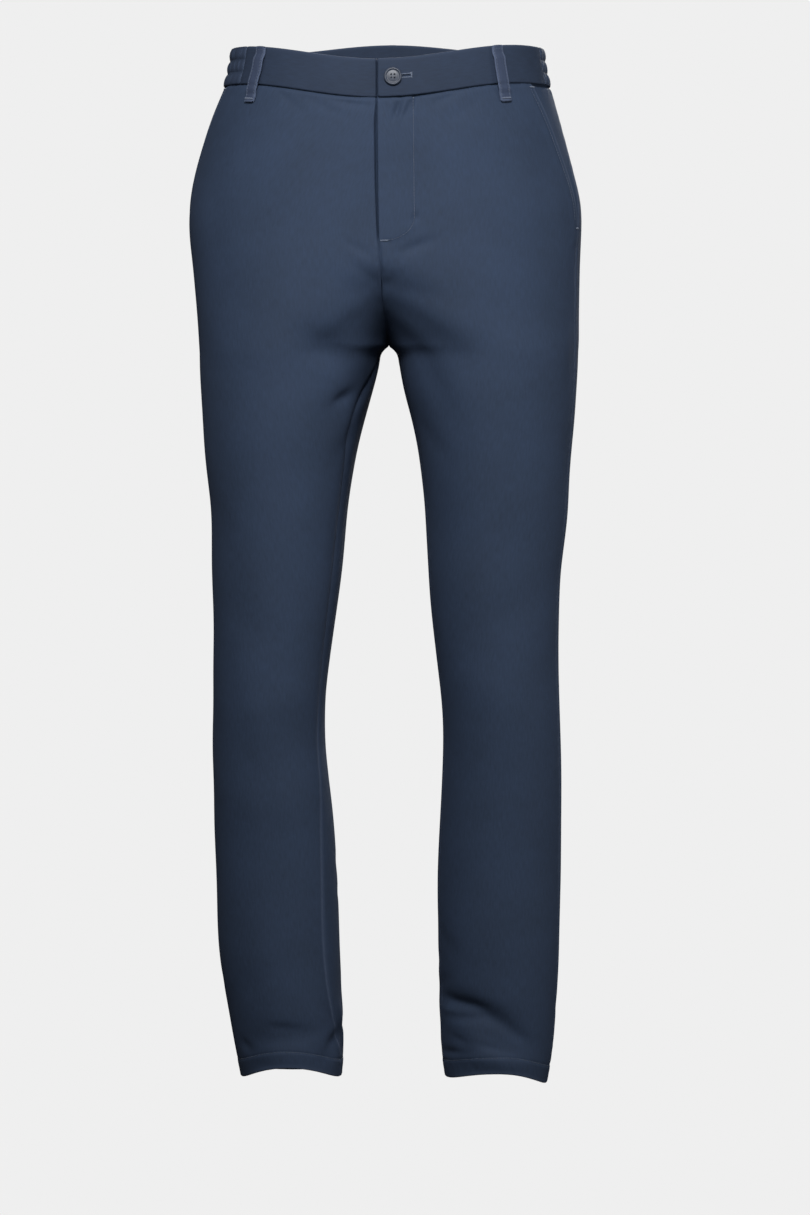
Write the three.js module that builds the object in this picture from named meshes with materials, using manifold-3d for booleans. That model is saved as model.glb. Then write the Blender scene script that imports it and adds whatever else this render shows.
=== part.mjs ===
// Chino trousers, standing open as worn: four leg panels, a waistband with gathered elastic sides,
// a buttoned fly, slash pockets and five belt loops.
// Millimetres, +Z up. The front faces -Y and the garment's left side is +X.
// The origin is the middle of the waist, level with the waistband's top edge at the sides.
import * as THREE from "three";
import { mergeVertices } from "three/addons/utils/BufferGeometryUtils.js";
import Module from "manifold-3d";

// Driving sizes
const OUTSEAM = 1053; // waistband's top edge to hem, at the side
const RISE = 299; // waistband's top edge at the side down to the point where the four seams meet
const BAND_HEIGHT = 38;
const BAND_WALL = 2.4; // two layers and the stiffener
const CLOTH = 1.5;
const SEAM_GAP = 0.3;
const WAIST_DIP = 17; // how far the waist is lower at the centre front than at the sides
const WAIST_CLIMB = 13; // how far it is higher at the centre back
const WAIST_SLOPE_WIDTH = 155; // how far out from the middle the waist's slope reaches
const TILT_ENDS = 190; // depth at which the rows no longer follow the waist's slope
const FRONT_CROTCH_CURVE = 90; // height of the curved part of the front rise
const BACK_CROTCH_CURVE = 112;
const CROTCH_ROUNDNESS = 1.45; // above 1, the rise runs smoothly into the inside of the leg
const LEAST_CLOSING = 0.02; // keeps the section's inner half finite where front and back are whole
const SQUARENESS = 2.12; // exponent of the sections; 2 would be an ellipse
const HEM_ALLOWANCE = 20;
const HEM_WALL = 2.6;
const HEM_LIFT_STARTS = 940;

const FLY = {
  bottom: 202, curve: 24, width: 35, blend: 6,
  lift: 1, liftEnds: 210, underlap: 12, underlapEnds: 190,
};
const FLY_EDGE = FLY.width + FLY.blend;
const BUTTON = {
  fromEdge: 15, depth: 18.5, radius: 8.9, height: 3.2,
  rim: 1.9, dish: 1.2, hole: 0.9, spacing: 1.9,
};
const BAND = { proud: 0.8, rounding: 0.4, underlap: 42, lift: 1.4, blend: 30 };
const POCKET = {
  top: 54, bottom: 190, lip: 9, lipEnds: 20,
  lift: 1, fades: 14, facingUnder: 8, facingEnds: 182,
};
const LOOP = { width: 13, top: 0.5, length: 56, wall: 1.6, foldedWall: 2.6, gap: 3, sewn: 7, eases: 6 };
const ELASTIC = { channels: 3, pitch: 13, bulge: 1.2, ruffle: 1.1, drift: 0.21 };

const LEFT = 1;
const RIGHT = -1;
const SIDES = [LEFT, RIGHT];
const sideName = (side) => (side === LEFT ? "left" : "right");

// Turns round the waist at which the stretches of waistband meet, and where the belt loops stand.
const WAIST = {
  [LEFT]: { elasticFront: 16, elasticBack: -40, frontLoop: 51, backLoop: -54 },
  [RIGHT]: { elasticFront: 30, elasticBack: -38, frontLoop: 42, backLoop: -54 },
};

// Rows of a table as objects, so that each number is read by the name of its column.
const table = (columns, rows) =>
  rows.map((row) => Object.fromEntries(columns.map((column, i) => [column, row[i]])));

// The body down to the crotch. left and right are the half widths, front and back the depth either way,
// mid where it is widest, and the poles how far out from the middle the front and back stand furthest.
const TORSO = table(
  ["z", "left", "right", "front", "back", "mid", "frontPole", "backPole"],
  [
    [20, 157, 154, -104, 101, 0, 20, 20],
    [0, 158.5, 155.5, -105, 103, 0, 20, 20],
    [-26, 162.5, 160, -107, 107, 0, 21, 22],
    [-51, 169.5, 169, -109, 111, 1, 23, 25],
    [-94, 182, 184, -112, 121, 3, 28, 35],
    [-124, 190, 193, -113, 128, 4, 33, 44],
    [-155, 197, 199, -114, 133, 6, 40, 53],
    [-186, 198, 200, -115, 136, 8, 47, 62],
    [-216, 197, 197, -116, 135, 8, 56, 71],
    [-247, 196.5, 194, -116, 130, 8, 68, 80],
    [-278, 196, 192, -115, 122, 7, 82, 89],
  ],
);

// How deep the legs stand, front and back, and where they are deepest, between their two edges.
const LEG_DEPTH = table(
  ["z", "front", "back", "mid"],
  [
    [-RISE, -113, 114, 6],
    [-345, -110, 104, 4],
    [-410, -104, 94, 0],
    [-500, -96, 82, -4],
    [-600, -87, 70, -6],
    [-660, -82, 68, -5],
    [-710, -76, 69, -2],
    [-760, -71, 71, 2],
    [-830, -65, 72, 6],
    [-900, -61, 74, 9],
    [-960, -58, 77, 13],
    [-1010, -55, 83, 18],
    [-1060, -52, 91, 22],
  ],
);

// The outline of each leg from the front: its outer and inner edge, out from the middle.
const LEG_OUTLINE = {
  [LEFT]: table(
    ["z", "outer", "inner"],
    [
      [-RISE, 195.6, 3],
      [-RISE - 5, 195.3, 8.6],
      [-RISE - 15, 195, 12.6],
      [-339, 193.8, 17],
      [-369, 191.8, 24.5],
      [-400, 189.2, 31],
      [-430, 187.2, 35],
      [-461, 185.4, 38.6],
      [-522, 178.5, 42.5],
      [-583, 176.2, 47.2],
      [-630, 175.8, 53],
      [-675, 177.4, 57],
      [-736, 179.5, 57],
      [-798, 179.6, 54.1],
      [-859, 178.6, 52.8],
      [-920, 178, 52.9],
      [-981, 175, 54.3],
      [-1012, 172.5, 56],
      [-1038, 169.5, 58.3],
      [-1060, 166, 61.5],
    ],
  ),
  [RIGHT]: table(
    ["z", "outer", "inner"],
    [
      [-RISE, 190.6, -3],
      [-RISE - 5, 190.2, 2.6],
      [-RISE - 15, 189.8, 6.4],
      [-339, 188.7, 12.2],
      [-369, 187.2, 20.4],
      [-400, 185.4, 28.4],
      [-430, 182.6, 34],
      [-461, 179.2, 38.6],
      [-522, 177.4, 44.8],
      [-583, 176.5, 52.6],
      [-630, 177, 59],
      [-675, 177.5, 62.6],
      [-706, 177.5, 62.6],
      [-736, 177.3, 59.4],
      [-798, 176.4, 53.2],
      [-859, 174.6, 50],
      [-920, 172.8, 47.8],
      [-981, 163.6, 45],
      [-1012, 158.4, 44.5],
      [-1038, 153.4, 45.5],
      [-1060, 148.6, 47.8],
    ],
  ),
};

// How far each seam is turned towards the front, in degrees, from the outermost or innermost line.
const SEAM_TURN = {
  [LEFT]: table(
    ["z", "outseam", "inseam"],
    [
      [20, 4, 0],
      [-51, 5, 0],
      [-124, 9, 0],
      [-190, 16, 0],
      [-RISE, 18, 0],
      [-330, 18, 6],
      [-380, 18, 10],
      [-500, 18, 12],
      [-700, 18, 12],
      [-900, 16, 14],
      [-1060, 12, 12],
    ],
  ),
  [RIGHT]: table(
    ["z", "outseam", "inseam"],
    [
      [20, -12, 0],
      [-51, -12, 0],
      [-124, -12, 0],
      [-190, -12, 0],
      [-RISE, -12, 0],
      [-325, -12, 14],
      [-352, -12, 26],
      [-400, -12, 28],
      [-450, -13, 24],
      [-520, -14, 26],
      [-680, -15, 25],
      [-740, -15, 31],
      [-810, -15, 39],
      [-880, -14, 42],
      [-940, -13, 40],
      [-985, -12, 32],
      [-1015, -11, 20],
      [-1060, -10, 13],
    ],
  ),
};

// Where the centre front and centre back seams stand, left (+) or right (-) of the middle.
const CENTRE_SEAMS = table(
  ["z", "front", "back"],
  [
    [20, -8, 6],
    [-62, -8, 6],
    [-130, -7.4, 6],
    [-202, -6, 5],
    [-260, -2, 4],
    [-RISE, 3, 3],
  ],
);

// How far the hem is raised or dropped at its front, back, outer and inner point.
const HEM_LIFT = {
  [LEFT]: { front: 15, back: -8, outer: -6, inner: 1 },
  [RIGHT]: { front: 21, back: -8, outer: 1, inner: 1 },
};

// The largest folds. turn is the place round the leg, lean the fold's slope from upright in degrees,
// across and along its spread, and height is a ridge where positive and a trough where negative.
const FOLDS = table(
  ["side", "z", "turn", "lean", "across", "along", "height"],
  [
    [LEFT, -972, 122, 78, 9, 34, -5],
    [LEFT, -1001, 92, 62, 8, 26, -3.5],
    [LEFT, -1024, 96, 84, 7, 34, 2.5],
    [LEFT, -212, 118, 66, 9, 26, -2.4],
    [LEFT, -985, -130, 74, 10, 30, -4],
    [LEFT, -690, -95, 80, 12, 30, -3],
    [LEFT, -352, -105, 70, 13, 38, -5],
    [RIGHT, -1000, 92, 84, 8, 26, -3],
    [RIGHT, -1012, 150, 60, 7, 18, -3],
    [RIGHT, -353, 138, 58, 14, 26, -3],
    [RIGHT, -300, 112, 50, 24, 34, -3],
    [RIGHT, -980, -125, -72, 10, 30, -4],
    [RIGHT, -700, -88, -78, 12, 30, -3],
    [RIGHT, -356, -100, -70, 13, 38, -5],
  ],
);

// Depths below the waist of a panel's rows, closer where the shape changes quickly.
const PANEL_ROWS = [
  BAND_HEIGHT + SEAM_GAP, 55, 78, 105, 132, 155, 172, 182, 192, 203, 216, 232, 249, 264, 277, 288, RISE - 3,
  RISE, RISE + 5, RISE + 14, 329, 350, 378, 412, 455, 508, 565, 625, 685, 745, 810, 875, 928, 962, 990,
  1012,
  OUTSEAM - HEM_ALLOWANCE - 1, OUTSEAM - HEM_ALLOWANCE, OUTSEAM,
];
const BAND_ROWS = [0, 2, 19, 36, BAND_HEIGHT];
const FRONT_CELLS = 8; // cells between the pocket's lip and the fly
const BACK_CELLS = 8; // cells between the side seam and the last stretch before the centre seam
const FACING_CELLS = 5;
const BAND_CELLS = { left: 14, back: 7 };
const RUFFLE_CELLS = 4; // cells in one wave of the elastic
const LOOP_CELLS = 14;
const PATH_STEPS = 120;

const radians = THREE.MathUtils.degToRad;
const smooth = (from, to, value) => THREE.MathUtils.smoothstep(value, from, to);
const power = (value, exponent) => Math.sign(value) * Math.abs(value) ** exponent;

// A natural cubic spline down one column of a table.
function track(rows, column) {
  const x = rows.map((row) => -row.z);
  const y = rows.map((row) => row[column]);
  const last = x.length - 1;
  const bend = new Array(last + 1).fill(0);
  const carry = new Array(last + 1).fill(0);
  for (let i = 1; i < last; i++) {
    const share = (x[i] - x[i - 1]) / (x[i + 1] - x[i - 1]);
    const pivot = share * bend[i - 1] + 2;
    const slopes = (y[i + 1] - y[i]) / (x[i + 1] - x[i]) - (y[i] - y[i - 1]) / (x[i] - x[i - 1]);
    bend[i] = (share - 1) / pivot;
    carry[i] = ((6 * slopes) / (x[i + 1] - x[i - 1]) - share * carry[i - 1]) / pivot;
  }
  bend[last] = 0;
  for (let i = last - 1; i >= 0; i--) bend[i] = bend[i] * bend[i + 1] + carry[i];
  return (z) => {
    const depth = -z;
    let i = 1;
    while (i < last && x[i] < depth) i++;
    const span = x[i] - x[i - 1];
    const a = (x[i] - depth) / span;
    const b = 1 - a;
    const cubic = ((a ** 3 - a) * bend[i - 1] + (b ** 3 - b) * bend[i]) * (span ** 2 / 6);
    return a * y[i - 1] + b * y[i] + cubic;
  };
}

const centreSeam = { front: track(CENTRE_SEAMS, "front"), back: track(CENTRE_SEAMS, "back") };
const depths = Object.fromEntries(
  ["front", "back", "mid"].map((column) => [column, track([...TORSO, ...LEG_DEPTH], column)]),
);

// Every changing size of one side of the garment, as functions of height.
function sideTracks(side) {
  const outline = LEG_OUTLINE[side];
  const outer = TORSO.map((row) => ({ z: row.z, outer: row[sideName(side)] }));
  const centres = outline.map((row) => ({ z: row.z, pole: (row.outer + row.inner) / 2 }));
  const poles = (column) => [...TORSO.map((row) => ({ z: row.z, pole: row[column] })), ...centres];
  return {
    outer: track([...outer, ...outline], "outer"),
    inner: track(outline, "inner"),
    frontPole: track(poles("frontPole"), "pole"),
    backPole: track(poles("backPole"), "pole"),
    outseam: track(SEAM_TURN[side], "outseam"),
    inseam: track(SEAM_TURN[side], "inseam"),
  };
}

const tracks = { [LEFT]: sideTracks(LEFT), [RIGHT]: sideTracks(RIGHT) };

// The section of one side at a height, for its front or its back half: where the centre seam and the pole
// are, measured outwards, and the half widths from the pole to the outer and to the inner edge.
function section(side, z, front) {
  const own = tracks[side];
  const pole = (front ? own.frontPole : own.backPole)(z);
  const seam = side * (front ? centreSeam.front : centreSeam.back)(Math.max(z, -RISE)) + SEAM_GAP / 2;
  const curve = front ? FRONT_CROTCH_CURVE : BACK_CROTCH_CURVE;
  const above = z >= -RISE;
  const climbed = Math.min(Math.max((z + RISE) / curve, 0), 1);
  // 1 at the crotch and below it, nearly 0 where the front and the back are whole
  const closing = Math.max(1 - climbed ** CROTCH_ROUNDNESS, LEAST_CLOSING);
  return {
    pole,
    closing,
    outer: own.outer(z) - pole,
    inner: above ? (pole - seam) / closing : pole - own.inner(z) - SEAM_GAP / 2,
    depth: front ? depths.mid(z) - depths.front(z) : depths.back(z) - depths.mid(z),
  };
}

// A point of the garment's outer surface. turn is 0 at the side, 90 at the front, -90 at the back and
// 180 or -180 at the inner edge.
function surface(side, z, turn) {
  const front = Math.sin(radians(turn)) >= 0;
  const own = section(side, z, front);
  const c = power(Math.cos(radians(turn)), 2 / SQUARENESS);
  const s = power(Math.sin(radians(turn)), 2 / SQUARENESS);
  const x = own.pole + (c >= 0 ? own.outer : own.inner) * c;
  return new THREE.Vector3(side * x, depths.mid(z) - own.depth * s, z);
}

// The outward direction there, from two short steps across the surface.
function outward(side, z, turn) {
  const across = surface(side, z, turn + 0.5).sub(surface(side, z, turn - 0.5));
  const down = surface(side, z - 1, turn).sub(surface(side, z + 1, turn));
  return across.cross(down).multiplyScalar(side).normalize();
}

// The height of a point of the row at a depth: the rows slope with the waist and dip with the hem.
function height(side, depth, turn) {
  const front = Math.sin(radians(turn)) >= 0;
  const z = -depth;
  const across = Math.abs(surface(side, z, turn).x - (front ? centreSeam.front(0) : centreSeam.back(0)));
  const share = (1 + Math.cos(Math.PI * Math.min(across / WAIST_SLOPE_WIDTH, 1))) / 2;
  const tilt = (front ? -WAIST_DIP : WAIST_CLIMB) * share * (1 - smooth(BAND_HEIGHT, TILT_ENDS, depth));
  const s = Math.sin(radians(turn)) ** 2;
  const c = Math.cos(radians(turn)) ** 2;
  const hem = HEM_LIFT[side];
  const ends = Math.cos(radians(turn)) >= 0 ? hem.outer : hem.inner;
  const lift = (front ? hem.front : hem.back) * s + ends * c;
  return z + tilt + lift * smooth(HEM_LIFT_STARTS, OUTSEAM, depth);
}

// How far the folds move the cloth in or out at a place.
function foldHeight(side, z, turn) {
  let sum = 0;
  for (const fold of FOLDS) {
    if (fold.side !== side) continue;
    const own = section(side, fold.z, fold.turn >= 0);
    const radius = (own.outer + own.depth) / 2;
    const x = radians(turn - fold.turn) * radius;
    const y = z - fold.z;
    const lean = radians(fold.lean);
    const across = x * Math.cos(lean) - y * Math.sin(lean);
    const along = x * Math.sin(lean) + y * Math.cos(lean);
    sum += fold.height * Math.exp(-((across / fold.across) ** 2 + (along / fold.along) ** 2) / 2);
  }
  return sum;
}

// Where a row of the front or back meets the centre seam, or the inseam below the crotch.
function innerTurn(side, z, front) {
  const inseam = tracks[side].inseam(z);
  if (z <= -RISE) return front ? 180 - inseam : -180 - inseam;
  const { closing } = section(side, z, front);
  const turn = 90 + THREE.MathUtils.radToDeg(Math.asin(closing ** (SQUARENESS / 2)));
  return front ? turn : -turn;
}

// Places along a row, from one turn to another, with the distance walked to each.
function walk(side, depth, fromTurn, toTurn) {
  const places = [];
  let last = null;
  let distance = 0;
  for (let i = 0; i <= PATH_STEPS; i++) {
    const turn = fromTurn + ((toTurn - fromTurn) * i) / PATH_STEPS;
    const point = surface(side, height(side, depth, turn), turn);
    if (last) distance += point.distanceTo(last);
    places.push({ side, turn, distance });
    last = point;
  }
  return places;
}

// A row of the front or back of one side, from its side seam to its inner edge.
function panelRow(side, depth, front) {
  const z = depth > TILT_ENDS ? height(side, depth, 180) : -TILT_ENDS;
  return walk(side, depth, tracks[side].outseam(-depth), innerTurn(side, z, front));
}

// The place at a distance along a row. It carries on past the last place in the same direction.
function along(places, distance) {
  let i = 1;
  while (i < places.length - 1 && places[i].distance < distance) i++;
  const [a, b] = [places[i - 1], places[i]];
  const share = (distance - a.distance) / Math.max(b.distance - a.distance, 1e-6);
  return { side: share < 0.5 ? a.side : b.side, turn: a.turn + (b.turn - a.turn) * share };
}

const rowLength = (places) => places[places.length - 1].distance;

// A point set off from the surface along its outward direction.
function place(side, depth, turn, offset) {
  const z = height(side, depth, turn);
  const out = outward(side, z, turn);
  return surface(side, z, turn).addScaledVector(out, offset + foldHeight(side, z, turn));
}

// A closed wall from a grid of [outer, inner] points: two skins joined round the edge. Each cell is cut
// along its shorter diagonal.
function wall(grid) {
  const rows = grid.length;
  const columns = grid[0].length;
  const positions = [0, 1].flatMap((skin) =>
    grid.flatMap((row) => row.flatMap((pair) => pair[skin].toArray())),
  );
  const at = (skin, i, j) => skin * rows * columns + i * columns + j;
  const faces = [];
  const quad = (a, b, c, d) => faces.push(a, b, c, a, c, d);
  for (let i = 0; i + 1 < rows; i++) {
    for (let j = 0; j + 1 < columns; j++) {
      const down = grid[i][j][0].distanceTo(grid[i + 1][j + 1][0]);
      const up = grid[i + 1][j][0].distanceTo(grid[i][j + 1][0]);
      const skin = (k) => [at(k, i, j), at(k, i + 1, j), at(k, i + 1, j + 1), at(k, i, j + 1)];
      const [a, b, c, d] = skin(0);
      const [e, f, g, h] = skin(1);
      if (down <= up) {
        quad(a, b, c, d);
        quad(e, h, g, f);
      } else {
        quad(b, c, d, a);
        quad(h, g, f, e);
      }
    }
    quad(at(0, i, 0), at(1, i, 0), at(1, i + 1, 0), at(0, i + 1, 0));
    const end = columns - 1;
    quad(at(0, i, end), at(0, i + 1, end), at(1, i + 1, end), at(1, i, end));
  }
  for (let j = 0; j + 1 < columns; j++) {
    quad(at(0, 0, j), at(0, 0, j + 1), at(1, 0, j + 1), at(1, 0, j));
    const end = rows - 1;
    quad(at(0, end, j), at(1, end, j), at(1, end, j + 1), at(0, end, j + 1));
  }
  const geometry = new THREE.BufferGeometry();
  geometry.setAttribute("position", new THREE.Float32BufferAttribute(positions, 3));
  geometry.setIndex(faces);
  return facingOut(geometry);
}

// Turns every face round if the body's volume comes out negative.
function facingOut(geometry) {
  const index = geometry.index.array;
  const point = (k) => new THREE.Vector3().fromBufferAttribute(geometry.attributes.position, index[k]);
  let volume = 0;
  for (let k = 0; k < index.length; k += 3) {
    volume += point(k).dot(point(k + 1).cross(point(k + 2)));
  }
  if (volume < 0) {
    for (let k = 0; k < index.length; k += 3) [index[k + 1], index[k + 2]] = [index[k + 2], index[k + 1]];
  }
  return geometry;
}

// The slash pocket's edge: its distance from the side seam, widest at the waistband.
const slash = (depth) =>
  POCKET.top * Math.max(0, (POCKET.bottom - depth) / (POCKET.bottom - BAND_HEIGHT));

// The fly's width at a depth, down to the end of its curved stitching.
function flyWidth(depth) {
  const intoCurve = Math.max(0, depth - (FLY.bottom - FLY.curve)) / FLY.curve;
  return FLY.width * Math.sqrt(Math.max(0, 1 - intoCurve ** 2));
}

// How far the left front stands out over the fly, and the right front in under it.
function flyLift(depth, fromEdge) {
  const width = flyWidth(depth);
  const inside = 1 - smooth(width, width + FLY.blend, fromEdge);
  return FLY.lift * inside * (1 - smooth(FLY.liftEnds - 14, FLY.liftEnds, depth));
}

const wallAt = (depth) => (depth > OUTSEAM - HEM_ALLOWANCE - 0.5 ? HEM_WALL : CLOTH);

// The last columns of a panel. Above the fly's end they keep their distances from the centre seam, and
// by the crotch they have spread to even turns round the inside of the leg.
const FRONT_END = [FLY_EDGE, FLY.width, 2 * FLY.underlap, FLY.underlap, 0];
const BACK_END = [64, 48, 34, 20, 9, 0];
function endTurns(side, depth, front, distances) {
  const z = -depth;
  const own = section(side, z, front);
  const last = innerTurn(side, depth > TILT_ENDS ? z : -TILT_ENDS, front);
  const sign = front ? 1 : -1;
  const share = (k) => k / (distances.length - 1);
  if (depth >= RISE) return distances.map((_, k) => sign * 90 + (last - sign * 90) * share(k));
  const spread = smooth(FLY.bottom, RISE, depth);
  return distances.map((distance, k) => {
    const reach = own.inner * own.closing; // from the pole to the seam
    const even = reach * (1 - Math.sin(radians(90 * share(k))) ** (2 / SQUARENESS));
    const fromSeam = distance + (even - distance) * spread;
    if (fromSeam >= reach) return sign * turnFor((fromSeam - reach) / own.outer);
    return sign * (180 - turnFor((reach - fromSeam) / own.inner));
  });
}

// The turn from the side at which the section has reached a share of its half width.
const turnFor = (share) => THREE.MathUtils.radToDeg(Math.acos(share ** (SQUARENESS / 2)));

// The distance along a row at which it reaches a turn.
function distanceAt(places, turn) {
  const first = places[0].turn;
  const span = places[places.length - 1].turn - first;
  const steps = ((turn - first) / span) * (places.length - 1);
  const i = THREE.MathUtils.clamp(Math.floor(steps), 0, places.length - 2);
  return places[i].distance + (places[i + 1].distance - places[i].distance) * (steps - i);
}

// The columns of a row: those given at its start, even cells, then those at its end.
function columns(row, starts, cells, turns) {
  const ends = turns.map((turn) => distanceAt(row, turn));
  const from = starts[starts.length - 1];
  const even = Array.from({ length: cells - 1 }, (_, k) => from + ((ends[0] - from) * (k + 1)) / cells);
  const last = Math.min(ends.pop(), rowLength(row) - SEAM_GAP / 2);
  return [...starts, ...even, ...ends, last];
}

// The front panel of one side, from the slash pocket's edge to the fly and down to the hem.
function frontPanel(side) {
  return PANEL_ROWS.map((depth) => {
    const row = panelRow(side, depth, true);
    const start = Math.max(slash(depth), SEAM_GAP / 2);
    const starts = [start, start + POCKET.lip, start + POCKET.lipEnds];
    const all = columns(row, starts, FRONT_CELLS, endTurns(side, depth, true, FRONT_END));
    const end = all[all.length - 1];
    const narrows = 1 - smooth(FLY.underlapEnds - FLY.underlap, FLY.underlapEnds, depth);
    const under = side === RIGHT ? FLY.underlap * narrows : 0;
    const lipFades = 1 - smooth(POCKET.bottom, POCKET.bottom + POCKET.fades, depth);
    return all.map((distance) => {
      const { turn } = along(row, distance === end ? end + under : distance);
      const lip = 1 - smooth(POCKET.lip, POCKET.lipEnds, distance - start);
      const offset = POCKET.lift * lip * lipFades + side * flyLift(depth, end - distance);
      return [place(side, depth, turn, offset), place(side, depth, turn, offset - wallAt(depth))];
    });
  });
}

function backPanel(side) {
  return PANEL_ROWS.map((depth) => {
    const row = panelRow(side, depth, false);
    const all = columns(row, [SEAM_GAP / 2], BACK_CELLS, endTurns(side, depth, false, BACK_END));
    return all.map((distance) => {
      const { turn } = along(row, distance);
      return [place(side, depth, turn, 0), place(side, depth, turn, -wallAt(depth))];
    });
  });
}

// The cloth that shows between the pocket's edge and the side seam, and runs in under the front panel.
function pocketFacing(side) {
  const rows = PANEL_ROWS.filter((depth) => depth <= POCKET.facingEnds);
  return rows.map((depth) => {
    const row = panelRow(side, depth, true);
    const edge = slash(depth);
    return Array.from({ length: FACING_CELLS + 1 }, (_, k) => {
      const distance = SEAM_GAP / 2 + ((edge + POCKET.facingUnder - SEAM_GAP / 2) * k) / FACING_CELLS;
      const { turn } = along(row, distance);
      const offset = -POCKET.lift * smooth(0, edge * 0.8, distance);
      return [place(side, depth, turn, offset), place(side, depth, turn, offset - CLOTH)];
    });
  });
}

// A stretch of waistband between two turns of one side. shape gives the outer face's offset.
function bandRows(side, fromTurn, toTurn, cells, shape, rows = BAND_ROWS) {
  return rows.map((depth) => {
    const row = walk(side, depth, fromTurn, toTurn);
    const start = SEAM_GAP / 2;
    const end = rowLength(row) - SEAM_GAP / 2;
    return Array.from({ length: cells + 1 }, (_, k) => {
      const distance = start + ((end - start) * k) / cells;
      const { turn } = along(row, distance);
      const offset = shape(depth, distance, rowLength(row));
      return [place(side, depth, turn, offset), place(side, depth, turn, offset - BAND_WALL)];
    });
  });
}

const centreTurn = (side, front) => innerTurn(side, -BAND_HEIGHT, front);

// The rounded top and bottom of a stretch of waistband.
const bandFace = (depth) => BAND.proud - (depth === 0 || depth === BAND_HEIGHT ? BAND.rounding : 0);

// The left front stretch laps over the right one, so it stands out towards the centre front.
const leftBand = (depth, distance, length) =>
  bandFace(depth) + BAND.lift * (1 - smooth(BAND.underlap, BAND.underlap + BAND.blend, length - distance));

// A row of the waist across the centre front or back, from the right elastic side to the left one.
function centreRow(depth, front) {
  const end = (side) => (front ? WAIST[side].elasticFront : WAIST[side].elasticBack);
  const near = walk(RIGHT, depth, end(RIGHT), centreTurn(RIGHT, front));
  const across = walk(LEFT, depth, centreTurn(LEFT, front), end(LEFT));
  const edge = rowLength(near);
  return { edge, places: [...near, ...across.map((spot) => ({ ...spot, distance: spot.distance + edge }))] };
}

// The right front stretch runs on past the centre front, under the left one, to carry the button.
function rightBand() {
  return BAND_ROWS.map((depth) => {
    const { edge, places } = centreRow(depth, true);
    const own = [0, 0.2, 0.4, 0.6, 0.8, 0.9, 1].map((share) => share * (edge - SEAM_GAP) + SEAM_GAP / 2);
    const beyond = [0.25, 0.5, 0.75, 1].map((share) => edge + share * BAND.underlap);
    return [...own, ...beyond].map((distance) => {
      const { side, turn } = along(places, distance);
      const offset = bandFace(depth) - BAND.lift * smooth(edge - BAND.blend, edge, distance);
      return [place(side, depth, turn, offset), place(side, depth, turn, offset - BAND_WALL)];
    });
  });
}

// The gathered stretch at the side: rows of stitching part it into channels, and each is ruffled.
function elasticBand(side) {
  const halves = ELASTIC.channels * 2;
  const rows = Array.from({ length: halves + 1 }, (_, k) => (k * BAND_HEIGHT) / halves);
  const { elasticFront, elasticBack } = WAIST[side];
  const length = rowLength(walk(side, BAND_HEIGHT / 2, elasticFront, elasticBack));
  const waves = Math.round(length / ELASTIC.pitch);
  const shape = (depth, distance, whole) => {
    const channel = (depth * ELASTIC.channels) / BAND_HEIGHT;
    const swell = Math.abs(Math.sin(Math.PI * channel));
    const phase = (distance / whole) * waves + ELASTIC.drift * Math.floor(channel);
    const ends = smooth(0, ELASTIC.pitch, distance) * smooth(0, ELASTIC.pitch, whole - distance);
    const ruffle = ends * ELASTIC.ruffle * Math.cos(2 * Math.PI * phase);
    return BAND.proud - BAND.rounding + swell * (ELASTIC.bulge + ruffle);
  };
  return bandRows(side, elasticFront, elasticBack, waves * RUFFLE_CELLS, shape, rows);
}

// The plain back stretch of waistband, from one elastic side to the other.
function backBand() {
  const half = (side) =>
    bandRows(side, WAIST[side].elasticBack, centreTurn(side, false), BAND_CELLS.back, bandFace);
  const [left, right] = SIDES.map(half);
  return left.map((row, i) => [...row, ...right[i].slice(0, -1).reverse()]);
}

// Rows of places for the belt loops to stand on: one side's own, or across the centre back.
const LOOP_REACH = 12; // degrees of the row to either side of a loop
const sideLoop = (side, turn) => (depth) => {
  const reach = Math.sign(turn) * LOOP_REACH;
  const places = walk(side, depth, turn - reach, turn + reach);
  return { places, middle: rowLength(places) / 2 };
};
const centreBackLoop = (depth) => {
  const { edge, places } = centreRow(depth, false);
  return { places, middle: edge };
};

// A belt loop: a strap that stands off the waistband, with both ends folded under and sewn down.
function beltLoop(rowAt) {
  return Array.from({ length: LOOP_CELLS + 1 }, (_, i) => {
    const depth = LOOP.top + (LOOP.length * i) / LOOP_CELLS;
    const fromEnd = Math.min(depth, LOOP.length - depth);
    const sewn = 1 - smooth(LOOP.sewn, LOOP.sewn + LOOP.eases, fromEnd);
    const base = depth < BAND_HEIGHT + 1 ? BAND.proud : 0;
    const inner = base + SEAM_GAP + (LOOP.gap - SEAM_GAP) * (1 - sewn);
    const outer = inner + LOOP.wall + (LOOP.foldedWall - LOOP.wall) * sewn;
    const { places, middle } = rowAt(depth);
    return [-1, 0, 1].map((edge) => {
      const { side, turn } = along(places, middle + (edge * LOOP.width) / 2);
      return [place(side, depth, turn, outer), place(side, depth, turn, inner)];
    });
  });
}

const wasm = await Module();
wasm.setup();

// A three.js body as a solid that can be cut, and back again.
function toSolid(geometry) {
  const bare = geometry.clone();
  bare.deleteAttribute("normal");
  bare.deleteAttribute("uv");
  const merged = mergeVertices(bare, 1e-4);
  return new wasm.Manifold(
    new wasm.Mesh({
      numProp: 3,
      vertProperties: new Float32Array(merged.attributes.position.array),
      triVerts: new Uint32Array(merged.index.array),
    }),
  );
}

function toGeometry(solid) {
  const mesh = solid.getMesh();
  const geometry = new THREE.BufferGeometry();
  geometry.setAttribute("position", new THREE.Float32BufferAttribute(mesh.vertProperties, 3));
  geometry.setIndex(Array.from(mesh.triVerts));
  return geometry;
}

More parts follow.
